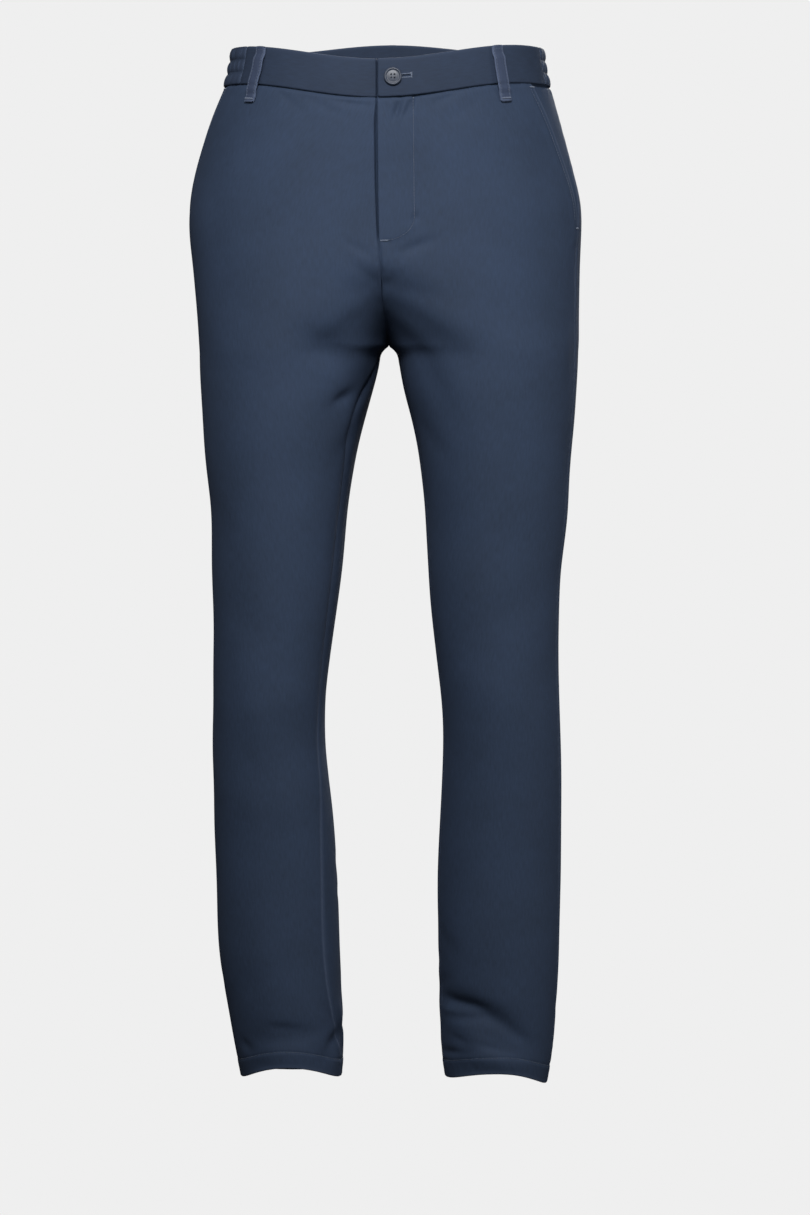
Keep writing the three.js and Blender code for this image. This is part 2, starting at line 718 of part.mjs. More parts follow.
// A dished button with a rounded rim and four holes, its back on z = 0.
function buttonGeometry() {
  const { radius, height: tall, rim, dish, hole, spacing } = BUTTON;
  const profile = [
    [0, 0],
    [radius - rim / 2, 0],
    [radius, rim / 2],
    [radius, tall - rim / 2],
    [radius - rim / 3, tall],
    [radius - rim, tall],
    [radius - rim - dish, tall - dish * 0.8],
    [0, tall - dish],
  ].map(([r, z]) => new THREE.Vector2(r, z));
  const disc = toSolid(new THREE.LatheGeometry(profile, 28).rotateX(Math.PI / 2));
  const holes = [0, 1, 2, 3].map((k) => {
    const angle = radians(45 + 90 * k);
    const drill = new THREE.CylinderGeometry(hole, hole, 4 * tall, 8).rotateX(Math.PI / 2);
    return toSolid(drill.translate(spacing * Math.cos(angle), spacing * Math.sin(angle), 0));
  });
  return toGeometry(holes.reduce((solid, drill) => solid.subtract(drill), disc));
}

const cloth = new THREE.MeshStandardMaterial({ color: 0x3a4660, roughness: 0.85, metalness: 0 });
const plastic = new THREE.MeshStandardMaterial({ color: 0x3c465c, roughness: 0.35, metalness: 0 });

const trousers = new THREE.Group();
function add(name, geometry, material = cloth) {
  const mesh = new THREE.Mesh(geometry, material.clone());
  mesh.name = name;
  trousers.add(mesh);
  return mesh;
}

for (const side of SIDES) {
  const name = sideName(side);
  add(`front_${name}`, wall(frontPanel(side)));
  add(`back_${name}`, wall(backPanel(side)));
  add(`pocket_facing_${name}`, wall(pocketFacing(side)));
  add(`waistband_elastic_${name}`, wall(elasticBand(side)));
  add(`belt_loop_front_${name}`, wall(beltLoop(sideLoop(side, WAIST[side].frontLoop))));
  add(`belt_loop_back_${name}`, wall(beltLoop(sideLoop(side, WAIST[side].backLoop))));
}
add("belt_loop_centre_back", wall(beltLoop(centreBackLoop)));
const leftRow = bandRows(LEFT, WAIST[LEFT].elasticFront, centreTurn(LEFT, true), BAND_CELLS.left, leftBand);
add("waistband_front_left", wall(leftRow));
add("waistband_front_right", wall(rightBand()));
add("waistband_back", wall(backBand()));

// The button sits on the left front of the waistband, its back just clear of the cloth.
const buttonRow = walk(LEFT, BUTTON.depth, WAIST[LEFT].elasticFront, centreTurn(LEFT, true));
const buttonTurn = along(buttonRow, rowLength(buttonRow) - BUTTON.fromEdge).turn;
const buttonHeight = height(LEFT, BUTTON.depth, buttonTurn);
const button = add("button", buttonGeometry(), plastic);
const buttonOut = outward(LEFT, buttonHeight, buttonTurn);
button.quaternion.setFromUnitVectors(new THREE.Vector3(0, 0, 1), buttonOut);
button.position.copy(place(LEFT, BUTTON.depth, buttonTurn, BAND.proud + BAND.lift + SEAM_GAP));

export default trousers;
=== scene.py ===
"""The look of the chino trousers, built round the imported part.

Blender's objects are in metres, +Z up, with the front towards -Y and the garment's left side at +X.
The cloth's form is worked out in millimetres and turned into metres where a mesh is made.
"""

import logging
from dataclasses import dataclass, field
from enum import Enum
from typing import Sequence

import bpy
import numpy as np
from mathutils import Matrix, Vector


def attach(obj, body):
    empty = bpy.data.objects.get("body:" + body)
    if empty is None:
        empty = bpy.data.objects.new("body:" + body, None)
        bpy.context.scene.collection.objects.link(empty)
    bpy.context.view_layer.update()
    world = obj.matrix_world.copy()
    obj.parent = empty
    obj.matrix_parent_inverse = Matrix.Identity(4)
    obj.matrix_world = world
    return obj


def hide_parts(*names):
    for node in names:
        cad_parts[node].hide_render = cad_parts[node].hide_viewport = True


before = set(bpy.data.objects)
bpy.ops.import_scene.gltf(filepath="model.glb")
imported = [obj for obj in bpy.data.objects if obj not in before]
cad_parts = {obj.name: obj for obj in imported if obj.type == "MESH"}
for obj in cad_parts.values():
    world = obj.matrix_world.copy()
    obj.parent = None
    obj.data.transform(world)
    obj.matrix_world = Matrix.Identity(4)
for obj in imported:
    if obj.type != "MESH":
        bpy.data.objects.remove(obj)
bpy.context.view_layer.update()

LOG = logging.getLogger("trousers")
MM = 0.001
ROOT = "root"
Array = np.ndarray
Row = Sequence[float]


class Side(Enum):
    """The garment's own left or right."""

    LEFT = 1
    RIGHT = -1

    @property
    def word(self) -> str:
        """The side as it stands in the names of pieces and nodes."""
        return self.name.lower()


def smooth(start: float | Array, end: float | Array, value: float | Array) -> Array:
    """Rise from 0 at start to 1 at end with level ends.

    Args:
        start: Value up to which the result is 0.
        end: Value from which the result is 1.
        value: Values to place between the two.

    Returns:
        The smooth share of each value.
    """
    share = np.clip((value - start) / (end - start), 0, 1)
    return share * share * (3 - 2 * share)


def bell(value: Array, width: float) -> Array:
    """A soft bump of height 1 about 0, with the given standard width."""
    return np.exp(-0.5 * (value / width) ** 2)


def power(value: Array, exponent: float) -> Array:
    """Raise the size of each value to the exponent and keep its sign."""
    return np.sign(value) * np.abs(value) ** exponent


def uneven(value: Array, pitch: float, shift: float) -> Array:
    """An uneven wave, as in puckered cloth, from about -1 to 1.

    Args:
        value: Places along the cloth.
        pitch: Usual distance from one pucker to the next.
        shift: Moves the wave, so that no two seams pucker alike.

    Returns:
        The wave's height at each place.
    """
    turn = 2 * np.pi / pitch
    slow = np.sin(turn * value * 0.37 + shift * 1.7)
    first = np.sin(turn * value + 1.3 * slow + shift)
    second = np.sin(turn * value * 1.83 + 0.9 * slow + shift * 2.3)
    return (0.65 * first + 0.35 * second) * (0.7 + 0.3 * slow)


class Track:
    """A natural cubic spline through sizes given at a few heights."""

    def __init__(self, rows: Sequence[Row]) -> None:
        """Fit the spline.

        Args:
            rows: Pairs of height and size, from the top down.
        """
        self.depths = np.array([-row[0] for row in rows])
        self.sizes = np.array([row[1] for row in rows])
        spans = np.diff(self.depths)
        slopes = np.diff(self.sizes) / spans
        count = len(self.depths)
        system = np.eye(count)
        bends = np.zeros(count)
        for i in range(1, count - 1):
            system[i, i - 1:i + 2] = spans[i - 1], 2 * (spans[i - 1] + spans[i]), spans[i]
            bends[i] = 6 * (slopes[i] - slopes[i - 1])
        self.bends = np.linalg.solve(system, bends)

    def __call__(self, height: float | Array) -> Array:
        """The size at each height.

        Args:
            height: Heights at which to read the spline.

        Returns:
            The sizes there.
        """
        depth = -np.asarray(height, float)
        i = np.clip(np.searchsorted(self.depths, depth), 1, len(self.depths) - 1)
        span = self.depths[i] - self.depths[i - 1]
        a = (self.depths[i] - depth) / span
        b = 1 - a
        bend = (a**3 - a) * self.bends[i - 1] + (b**3 - b) * self.bends[i]
        return a * self.sizes[i - 1] + b * self.sizes[i] + bend * span**2 / 6


@dataclass(frozen=True)
class Pucker:
    """A short pull in the cloth near the front edge."""

    side: Side
    down: float  # depth of its middle below the waist
    over: float  # and its distance from the front edge
    lean: float  # its slope from upright, away from the edge as it climbs, in degrees
    across: float
    along: float
    height: float

    def lift(self, down: Array, over: Array) -> Array:
        """How far the pull moves the cloth at each place."""
        lean = np.radians(self.lean)
        up, aside = self.down - down, over - self.over
        along = aside * np.sin(lean) + up * np.cos(lean)
        across = aside * np.cos(lean) - up * np.sin(lean)
        return self.height * bell(across, self.across) * bell(along, self.along)


@dataclass(frozen=True)
class Crease:
    """One soft fold of the cloth: a ridge where its height is positive and a trough where negative."""

    side: Side
    height_at: float  # where its middle is, up from the origin
    turn: float  # and round the leg: 0 side, 90 front, -90 back, 180 or -180 inner edge
    lean: float  # its slope from upright, in degrees
    across: float  # spread over the fold
    along: float  # and along it
    height: float
    shoulder: float = 0.0  # a fold of the other sign beside it, as a share of its height
    bend: float = 0.0  # how far its ends curve up

    def lift(self, round_leg: Array, up: Array) -> Array:
        """How far the fold moves the cloth.

        Args:
            round_leg: Distances round the leg from the fold's middle.
            up: Distances up from it.

        Returns:
            The lift at each place.
        """
        lean = np.radians(self.lean)
        along = round_leg * np.sin(lean) + up * np.cos(lean)
        across = round_leg * np.cos(lean) - up * np.sin(lean)
        across = across - self.bend * (along / self.along) ** 2
        profile = bell(across, self.across)
        if self.shoulder:
            profile = profile - self.shoulder * bell(across - 2.1 * self.across, self.across)
        return self.height * profile * bell(along, self.along)


LEFT, RIGHT = Side.LEFT, Side.RIGHT

# The body down to the crotch: height, half widths left and right, depth of the front and the back,
# where it is widest, and how far out from the middle the front and the back stand furthest.
TORSO = (
    (20, 157, 154, -104, 101, 0, 20, 20),
    (0, 158.5, 155.5, -105, 103, 0, 20, 20),
    (-26, 162.5, 160, -107, 107, 0, 21, 22),
    (-51, 169.5, 169, -109, 111, 1, 23, 25),
    (-94, 182, 184, -112, 121, 3, 28, 35),
    (-124, 190, 193, -113, 128, 4, 33, 44),
    (-155, 197, 199, -114, 133, 6, 40, 53),
    (-186, 198, 200, -115, 136, 8, 47, 62),
    (-216, 197, 197, -116, 135, 8, 56, 71),
    (-247, 196.5, 194, -116, 130, 8, 68, 80),
    (-278, 196, 192, -115, 122, 7, 82, 89),
)
# Below it: height, depth of the front and the back, and where the legs are deepest between the two.
LEG_DEPTH = (
    (-299, -113, 114, 6),
    (-345, -110, 104, 4),
    (-410, -104, 94, 0),
    (-500, -96, 82, -4),
    (-600, -87, 70, -6),
    (-660, -82, 68, -5),
    (-710, -76, 69, -2),
    (-760, -71, 71, 2),
    (-830, -65, 72, 6),
    (-900, -61, 74, 9),
    (-960, -58, 77, 13),
    (-1010, -55, 83, 18),
    (-1060, -52, 91, 22),
)
# Each leg seen from the front: height, and its outer and inner edge out from the middle.
LEG_OUTLINE = {
    LEFT: (
        (-299, 195.6, 3), (-304, 195.3, 8.6), (-314, 195, 12.6), (-339, 193.8, 17),
        (-369, 191.8, 24.5), (-400, 189.2, 31), (-430, 187.2, 35), (-461, 185.4, 38.6),
        (-522, 178.5, 42.5), (-583, 176.2, 47.2), (-630, 175.8, 53), (-675, 177.4, 57),
        (-736, 179.5, 57), (-798, 179.6, 54.1), (-859, 178.6, 52.8), (-920, 178, 52.9),
        (-981, 175, 54.3), (-1012, 172.5, 56), (-1038, 169.5, 58.3), (-1060, 166, 61.5),
    ),
    RIGHT: (
        (-299, 190.6, -3), (-304, 190.2, 2.6), (-314, 189.8, 6.4), (-339, 188.7, 12.2),
        (-369, 187.2, 20.4), (-400, 185.4, 28.4), (-430, 182.6, 34), (-461, 179.2, 38.6),
        (-522, 177.4, 44.8), (-583, 176.5, 52.6), (-630, 177, 59), (-675, 177.5, 62.6),
        (-706, 177.5, 62.6), (-736, 177.3, 59.4), (-798, 176.4, 53.2), (-859, 174.6, 50),
        (-920, 172.8, 47.8), (-981, 163.6, 45), (-1012, 158.4, 44.5), (-1038, 153.4, 45.5),
        (-1060, 148.6, 47.8),
    ),
}
# How far the outseam and the inseam are turned towards the front, in degrees, at each height.
OUTSEAM_TURN = {
    LEFT: (
        (20, 4), (-51, 5), (-124, 9), (-190, 16), (-299, 18), (-330, 18), (-380, 18),
        (-500, 18), (-700, 18), (-900, 16), (-1060, 12),
    ),
    RIGHT: (
        (20, -12), (-51, -12), (-124, -12), (-190, -12), (-299, -12), (-325, -12), (-352, -12),
        (-400, -12), (-450, -13), (-520, -14), (-680, -15), (-740, -15), (-810, -15),
        (-880, -14), (-940, -13), (-985, -12), (-1015, -11), (-1060, -10),
    ),
}
INSEAM_TURN = {
    LEFT: (
        (20, 0), (-51, 0), (-124, 0), (-190, 0), (-299, 0), (-330, 6), (-380, 10),
        (-500, 12), (-700, 12), (-900, 14), (-1060, 12),
    ),
    RIGHT: (
        (20, 0), (-51, 0), (-124, 0), (-190, 0), (-299, 0), (-325, 14), (-352, 26),
        (-400, 28), (-450, 24), (-520, 26), (-680, 25), (-740, 31), (-810, 39),
        (-880, 42), (-940, 40), (-985, 32), (-1015, 20), (-1060, 13),
    ),
}
# Where the centre front and centre back seams stand, left of the middle, at each height.
CENTRE_FRONT = ((20, -8), (-62, -8), (-130, -7.4), (-202, -6), (-260, -2), (-299, 3))
CENTRE_BACK = ((20, 6), (-62, 6), (-130, 6), (-202, 5), (-260, 4), (-299, 3))


@dataclass(frozen=True)
class HemLift:
    """How far a hem is raised at its front, back, outer and inner point."""

    front: float
    back: float
    outer: float
    inner: float


HEM_LIFT = {LEFT: HemLift(15, -8, -6, 1), RIGHT: HemLift(21, -8, 1, 1)}

# The largest folds, which the part's solids have too.
LARGE_FOLDS = (
    Crease(LEFT, -972, 122, 78, 9, 34, -5),
    Crease(LEFT, -1001, 92, 62, 8, 26, -3.5),
    Crease(LEFT, -1024, 96, 84, 7, 34, 2.5),
    Crease(LEFT, -212, 118, 66, 9, 26, -2.4),
    Crease(LEFT, -985, -130, 74, 10, 30, -4),
    Crease(LEFT, -690, -95, 80, 12, 30, -3),
    Crease(LEFT, -352, -105, 70, 13, 38, -5),
    Crease(RIGHT, -1000, 92, 84, 8, 26, -3),
    Crease(RIGHT, -1012, 150, 60, 7, 18, -3),
    Crease(RIGHT, -353, 138, 58, 14, 26, -3),
    Crease(RIGHT, -300, 112, 50, 24, 34, -3),
    Crease(RIGHT, -980, -125, -72, 10, 30, -4),
    Crease(RIGHT, -700, -88, -78, 12, 30, -3),
    Crease(RIGHT, -356, -100, -70, 13, 38, -5),
)
# Smaller creases: break folds above the hems, puckers under the waistband and drag lines at the crotch
# and behind the knees.
SMALL_CREASES = (
    Crease(LEFT, -968, 134, 86, 4.2, 20, -3.4),
    Crease(LEFT, -984, 92, 60, 6.5, 26, -4.4),
    Crease(LEFT, -1000, 70, 62, 5, 12, -1.2),
    Crease(LEFT, -976, 147, -84, 2.6, 13, 1.5),
    Crease(LEFT, -983, 128, -86, 3.2, 16, -2.2),
    Crease(LEFT, -1005, 133, 80, 2.6, 8, -1.2),
    Crease(LEFT, -1011, 97, 76, 2.4, 10, -1.1),
    Crease(LEFT, -1020, 144, -84, 2.8, 16, -2.0),
    Crease(LEFT, -948, 158, -70, 5, 14, -1.4),
    Crease(LEFT, -905, 150, 64, 7, 18, -0.9),
    Crease(LEFT, -322, 132, 24, 12, 34, -2.2),
    Crease(LEFT, -282, 116, 36, 12, 30, -1.2),
    Crease(LEFT, -395, 140, 50, 9, 24, -1.0),
    Crease(LEFT, -240, 113, 74, 10, 28, -2.6),
    Crease(LEFT, -150, 40, -14, 12, 40, -0.9),
    Crease(LEFT, -560, 70, -62, 16, 34, -1.0),
    Crease(LEFT, -640, 112, 68, 14, 30, 1.0),
    Crease(LEFT, -300, 20, -30, 10, 34, -0.9),
    Crease(LEFT, -965, -20, -64, 5, 20, -1.5),
    Crease(LEFT, -992, -52, 70, 5, 18, -2.2),
    Crease(LEFT, -1010, -98, -80, 4, 22, -2.0),
    Crease(LEFT, -955, -110, 76, 6, 24, 1.6),
    Crease(LEFT, -1018, -150, 82, 3.4, 14, -1.7),
    Crease(LEFT, -940, -160, -66, 6, 18, -1.6),
    Crease(LEFT, -600, -72, -70, 7, 34, -2.2),
    Crease(LEFT, -632, -112, 76, 8, 30, -1.8),
    Crease(LEFT, -574, -126, 64, 6, 22, -1.5),
    Crease(LEFT, -318, -72, -64, 8, 34, -2.4),
    Crease(LEFT, -338, -140, 62, 9, 26, -2.2),
    Crease(LEFT, -286, -64, -72, 7, 26, 1.2),
    Crease(LEFT, -388, -92, -78, 10, 34, -1.4),
    Crease(LEFT, -90, -48, 40, 6, 22, -0.8),
    Crease(RIGHT, -990, 88, -86, 3.8, 13, -1.3),
    Crease(RIGHT, -1012, 43, -78, 4.5, 7, -1.8),
    Crease(RIGHT, -1007, 148, 70, 4.4, 9, -2.6),
    Crease(RIGHT, -986, 146, -40, 4, 14, -1.3),
    Crease(RIGHT, -990, 166, -22, 3.2, 13, 1.7),
    Crease(RIGHT, -1018, 168, 8, 2.6, 9, -1.5),
    Crease(RIGHT, -1030, 62, 74, 4, 10, -0.8),
    Crease(RIGHT, -948, 60, 60, 9, 22, -0.9),
    Crease(RIGHT, -352, 134, 74, 5, 11, -3.6),
    Crease(RIGHT, -303, 113, -66, 9, 30, -4.2),
    Crease(RIGHT, -268, 110, 44, 11, 28, 1.2),
    Crease(RIGHT, -392, 148, 46, 8, 22, -1.2),
    Crease(RIGHT, -243, 116, -78, 10, 30, -3.0),
    Crease(RIGHT, -160, 36, -12, 12, 42, -0.9),
    Crease(RIGHT, -575, 66, -60, 16, 36, -1.0),
    Crease(RIGHT, -655, 108, 66, 14, 32, 1.0),
    Crease(RIGHT, -824, -168, 80, 4, 10, -1.3),
    Crease(RIGHT, -838, -163, -76, 4.4, 12, -1.1),
    Crease(RIGHT, -858, -171, 72, 4, 9, -1.0),
    Crease(RIGHT, -1000, -170, -78, 4, 12, -1.8),
    Crease(RIGHT, -968, -26, 60, 5, 22, -1.4),
    Crease(RIGHT, -1000, -60, -74, 5, 20, -2.3),
    Crease(RIGHT, -1016, -112, 80, 4, 24, -2.0),
    Crease(RIGHT, -950, -92, -70, 7, 26, 1.5),
    Crease(RIGHT, -936, -138, 62, 6, 18, -1.5),
    Crease(RIGHT, -592, -88, 72, 7, 32, -2.2),
    Crease(RIGHT, -626, -66, -74, 8, 28, -1.7),
    Crease(RIGHT, -560, -120, -62, 6, 24, -1.4),
    Crease(RIGHT, -322, -82, -62, 8, 32, -2.3),
    Crease(RIGHT, -344, -146, 64, 9, 24, -2.1),
    Crease(RIGHT, -282, -58, -70, 7, 28, 1.2),
    Crease(RIGHT, -402, -104, 80, 10, 36, -1.4),
    Crease(RIGHT, -96, -56, 38, 6, 24, -0.8),
)
# Pulls under the waistband and round the end of the fly.
FRONT_PUCKERS = (
    Pucker(LEFT, 51, 19, 18, 2.2, 8, -3.1),
    Pucker(LEFT, 49, 31, 28, 2.4, 9, -3.4),
    Pucker(LEFT, 55, 24.5, 24, 2.2, 9, 1.2),
    Pucker(LEFT, 84, 18.5, 2, 3.6, 24, -0.5),
    Pucker(LEFT, 44, 71, 72, 2.8, 12, -1.2),
    Pucker(LEFT, 60, 88, 62, 4.5, 16, -0.6),
    Pucker(LEFT, 173, 36, 40, 2.6, 3.6, -1.8),
    Pucker(LEFT, 201, 36, 70, 3.4, 13, -2.4),
    Pucker(LEFT, 214, 22, 64, 3.6, 12, -0.8),
    Pucker(LEFT, 232, 14, 52, 4.4, 14, -0.9),
    Pucker(RIGHT, 45.5, 25, 86, 2.6, 13, -1.2),
    Pucker(RIGHT, 52, 52, 70, 3.4, 14, -0.6),
    Pucker(RIGHT, 49, 92, 58, 3.4, 12, -0.7),
    Pucker(RIGHT, 204, 20, 62, 3.4, 11, -0.9),
    Pucker(RIGHT, 228, 16, 50, 4.6, 15, -1.0),
)


@dataclass
class Course:
    """Rows of cloth, each a line of places from one turn to another, with the way out at each place."""

    points: Array  # row, step, xyz
    outward: Array
    distances: Array  # row, step
    turns: Array
    last: int  # the step at which the rows end; steps beyond it are there to be overrun

    @property
    def length(self) -> Array:
        """How long each row is."""
        return self.distances[:, self.last]

    def at(self, distance: Array, offset: float | Array) -> Array:
        """Points set off from the cloth's form.

        Args:
            distance: Distances along the rows, as row by column.
            offset: How far out of the form each point is.

        Returns:
            The points, as row by column by xyz.
        """
        offsets = np.broadcast_to(offset, distance.shape)
        found = np.empty(distance.shape + (3,))
        for r, wanted in enumerate(distance):
            walked = self.distances[r]
            k = np.clip(np.searchsorted(walked, wanted), 1, len(walked) - 1)
            share = ((wanted - walked[k - 1]) / (walked[k] - walked[k - 1]))[:, None]
            place = self.points[r, k - 1] * (1 - share) + self.points[r, k] * share
            way = self.outward[r, k - 1] * (1 - share) + self.outward[r, k] * share
            found[r] = place + way * offsets[r][:, None]
        return found

    def face(self, distance: Array, offset: float | Array) -> tuple[Array, Array]:
        """Points set off from the form, in one line, and the way out of the cloth at each."""
        line = self.at(distance, offset).reshape(-1, 3)
        return line, self.at(distance, offset + 1).reshape(-1, 3) - line

    def row(self, number: int) -> "Course":
        """One row alone."""
        kept = slice(number, number + 1)
        return Course(
            self.points[kept], self.outward[kept], self.distances[kept], self.turns[kept], self.last
        )

    def distance_at(self, turn: Array) -> Array:
        """The distance along each row at which it reaches each turn."""
        rising = self.turns[0, -1] > self.turns[0, 0]
        sign = 1 if rising else -1
        return np.array([
            np.interp(sign * wanted, sign * own, walked)
            for wanted, own, walked in zip(turn, self.turns, self.distances)
        ])

    def then(self, other: "Course") -> "Course":
        """This course up to its end, with the other carrying on from there."""
        kept = slice(0, self.last + 1)
        beyond = other.distances + self.length[:, None]
        return Course(
            np.concatenate([self.points[:, kept], other.points], 1),
            np.concatenate([self.outward[:, kept], other.outward], 1),
            np.concatenate([self.distances[:, kept], beyond + 1e-4], 1),
            np.concatenate([self.turns[:, kept], other.turns], 1),
            self.last + 1 + other.last,
        )


@dataclass
class WornForm:
    """The form that the garment has when it is worn, down to its hems, in millimetres."""

    outseam: float = 1053.0  # waistband's top edge to hem, at the side
    rise: float = 299.0  # waistband's top edge at the side down to where the four seams meet
    band: float = 38.0  # height of the waistband
    seam_gap: float = 0.3  # between the left and the right half
    waist_dip: float = 17.0  # how much lower the waist is at the centre front than at the sides
    waist_climb: float = 13.0  # and how much higher at the centre back
    waist_slope_width: float = 155.0  # how far from the centre its slope starts
    tilt_ends: float = 190.0  # depth at which the rows are level again
    front_curve: float = 90.0  # height over which the centre front closes in to the crotch
    back_curve: float = 112.0  # and the centre back
    crotch_roundness: float = 1.45
    least_closing: float = 0.02
    squareness: float = 2.12  # of the sections: 2 is an ellipse
    hem_lift_starts: float = 940.0  # depth from which the rows follow the hem's slope
    creases: tuple[Crease, ...] = LARGE_FOLDS + SMALL_CREASES
    sway: float = 0.5  # the slight unevenness of hanging cloth

    def __post_init__(self) -> None:
        """Fit the splines through the tables."""
        def column(rows: Sequence[Row], k: int) -> list[Row]:
            """One column of a table, with its heights."""
            return [(row[0], row[k]) for row in rows]

        self.front_depth = Track(column(TORSO, 3) + column(LEG_DEPTH, 1))
        self.back_depth = Track(column(TORSO, 4) + column(LEG_DEPTH, 2))
        self.middle = Track(column(TORSO, 5) + column(LEG_DEPTH, 3))
        self.centre_front = Track(CENTRE_FRONT)
        self.centre_back = Track(CENTRE_BACK)
        self.outer, self.inner, self.front_pole, self.back_pole = {}, {}, {}, {}
        self.outseam_turn, self.inseam_turn = {}, {}
        for side in Side:
            outline = LEG_OUTLINE[side]
            centres = [(z, (outer + inner) / 2) for z, outer, inner in outline]
            half_width = 1 if side is LEFT else 2
            self.outer[side] = Track(column(TORSO, half_width) + column(outline, 1))
            self.inner[side] = Track(column(outline, 2))
            self.front_pole[side] = Track(column(TORSO, 6) + centres)
            self.back_pole[side] = Track(column(TORSO, 7) + centres)
            self.outseam_turn[side] = Track(OUTSEAM_TURN[side])
            self.inseam_turn[side] = Track(INSEAM_TURN[side])

    def section(self, side: Side, z: Array, front: Array) -> tuple[Array, ...]:
        """The section of one side at a height, for its front or its back half.

        Args:
            side: Which side.
            z: Heights.
            front: True for the front half.

        Returns:
            The pole's place, how far the inner half is closed, the half widths from the pole to the
            outer and the inner edge, and the depth.
        """
        pole = np.where(front, self.front_pole[side](z), self.back_pole[side](z))
        seam_z = np.maximum(z, -self.rise)
        seam = np.where(front, self.centre_front(seam_z), self.centre_back(seam_z))
        curve = np.where(front, self.front_curve, self.back_curve)
        climbed = np.clip((z + self.rise) / curve, 0, 1)
        closing = np.maximum(1 - climbed**self.crotch_roundness, self.least_closing)
        to_seam = (pole - side.value * seam - self.seam_gap / 2) / closing
        to_edge = pole - self.inner[side](z) - self.seam_gap / 2
        middle = self.middle(z)
        depth = np.where(front, middle - self.front_depth(z), self.back_depth(z) - middle)
        outer = self.outer[side](z) - pole
        return pole, closing, outer, np.where(z >= -self.rise, to_seam, to_edge), depth

    def surface(self, side: Side, z: Array, turn: Array) -> Array:
        """Points of the form: turn 0 is the side, 90 the front, -90 the back and 180 the inner edge."""
        angle = np.radians(turn)
        front = np.sin(angle) >= 0
        pole, _, outer, inner, depth = self.section(side, z, front)
        c = power(np.cos(angle), 2 / self.squareness)
        s = power(np.sin(angle), 2 / self.squareness)
        x = side.value * (pole + np.where(c >= 0, outer, inner) * c)
        return np.stack(np.broadcast_arrays(x, self.middle(z) - depth * s, z), -1)

    def outward(self, side: Side, z: Array, turn: Array) -> Array:
        """The way out of the form at each place, one unit long."""
        across = self.surface(side, z, turn + 0.5) - self.surface(side, z, turn - 0.5)
        down = self.surface(side, z - 1, turn) - self.surface(side, z + 1, turn)
        out = np.cross(across, down) * side.value
        return out / np.linalg.norm(out, axis=-1, keepdims=True)

    def height(self, side: Side, depth: Array, turn: Array) -> Array:
        """The height of each place of a row: rows slope with the waist and dip with the hem.

        Args:
            side: Which side.
            depth: Depths of the rows below the waist.
            turn: Places round the rows.

        Returns:
            The heights.
        """
        angle = np.radians(turn)
        front = np.sin(angle) >= 0
        centre = np.where(front, self.centre_front(0), self.centre_back(0))
        across = np.abs(self.surface(side, -depth, turn)[..., 0] - centre)
        share = (1 + np.cos(np.pi * np.minimum(across / self.waist_slope_width, 1))) / 2
        fades = 1 - smooth(self.band, self.tilt_ends, depth)
        tilt = np.where(front, -self.waist_dip, self.waist_climb) * share * fades
        hem = HEM_LIFT[side]
        ends = np.where(np.cos(angle) >= 0, hem.outer, hem.inner)
        lift = np.where(front, hem.front, hem.back) * np.sin(angle) ** 2 + ends * np.cos(angle) ** 2
        return -depth + tilt + lift * smooth(self.hem_lift_starts, self.outseam, depth)

    def relief(self, side: Side, z: Array, turn: Array) -> Array:
        """How far the creases and the cloth's slight sway move each place out."""
        total = np.zeros(np.broadcast(z, turn).shape)
        for crease in self.creases:
            if crease.side is not side:
                continue
            near = np.array(crease.height_at)
            _, _, outer, _, depth = self.section(side, near, np.array(crease.turn >= 0))
            apart = (turn - crease.turn + 180) % 360 - 180
            round_leg = np.radians(apart) * float(outer + depth) / 2
            total += crease.lift(round_leg, z - crease.height_at)
        phase = 1.0 if side is LEFT else 2.4
        angle = np.radians(turn)
        first = uneven(z + 60 * np.sin(angle), 167.0, phase)
        second = uneven(75 * np.cos(angle) - 0.4 * z, 93.0, 3 * phase)
        return total + self.sway * (first + 0.5 * second) * smooth(30, 120, -z)

    def inner_turn(self, side: Side, z: Array, front: bool) -> Array:
        """Where a row meets the centre seam, or the inseam below the crotch."""
        _, closing, _, _, _ = self.section(side, z, np.array(front))
        sign = 1 if front else -1
        above = 90 + np.degrees(np.arcsin(closing ** (self.squareness / 2)))
        below = sign * 180 - self.inseam_turn[side](z)
        return np.where(z <= -self.rise, below, sign * above)

    def course(
        self, side: Side, depths: Array, start: float | Array, end: float | Array, spare: int = 0,
        steps: int = 260,
    ) -> Course:
        """Rows of cloth from one turn to another.

        Args:
            side: Which side.
            depths: The depth of each row below the waist.
            start: The turn at which each row starts.
            end: The turn at which it ends.
            spare: Steps by which the rows carry on beyond their ends.
            steps: Steps from start to end.

        Returns:
            The rows.
        """
        share = np.arange(steps + 1 + spare) / steps
        start, end = np.broadcast_arrays(start, end, depths)[:2]
        turn = start[:, None] + (end - start)[:, None] * share
        z = self.height(side, depths[:, None], turn)
        base = self.surface(side, z, turn)
        out = self.outward(side, z, turn)
        walked = np.cumsum(np.linalg.norm(np.diff(base, axis=1), axis=-1), 1)
        distances = np.concatenate([np.zeros((len(depths), 1)), walked], 1)
        points = base + out * self.relief(side, z, turn)[..., None]
        return Course(points, out, distances, turn, steps)

    def panel_course(self, side: Side, depths: Array, front: bool, spare: int = 0) -> Course:
        """Rows of a leg panel, from its side seam to its inner edge."""
        pole = self.height(side, depths, np.array(90.0 if front else -90.0))
        z = np.where(depths > self.tilt_ends, self.height(side, depths, np.array(180.0)), pole)
        end = self.inner_turn(side, z, front)
        return self.course(side, depths, self.outseam_turn[side](-depths), end, spare)

    def centre_turn(self, side: Side, front: bool) -> float:
        """Where the rows of the waistband reach the centre front or back."""
        return float(self.inner_turn(side, np.array(-self.band), front))

    def turn_for(self, share: Array) -> Array:
        """The turn from the side at which the section reaches a share of its half width."""
        return np.degrees(np.arccos(np.clip(share, 0, 1) ** (self.squareness / 2)))

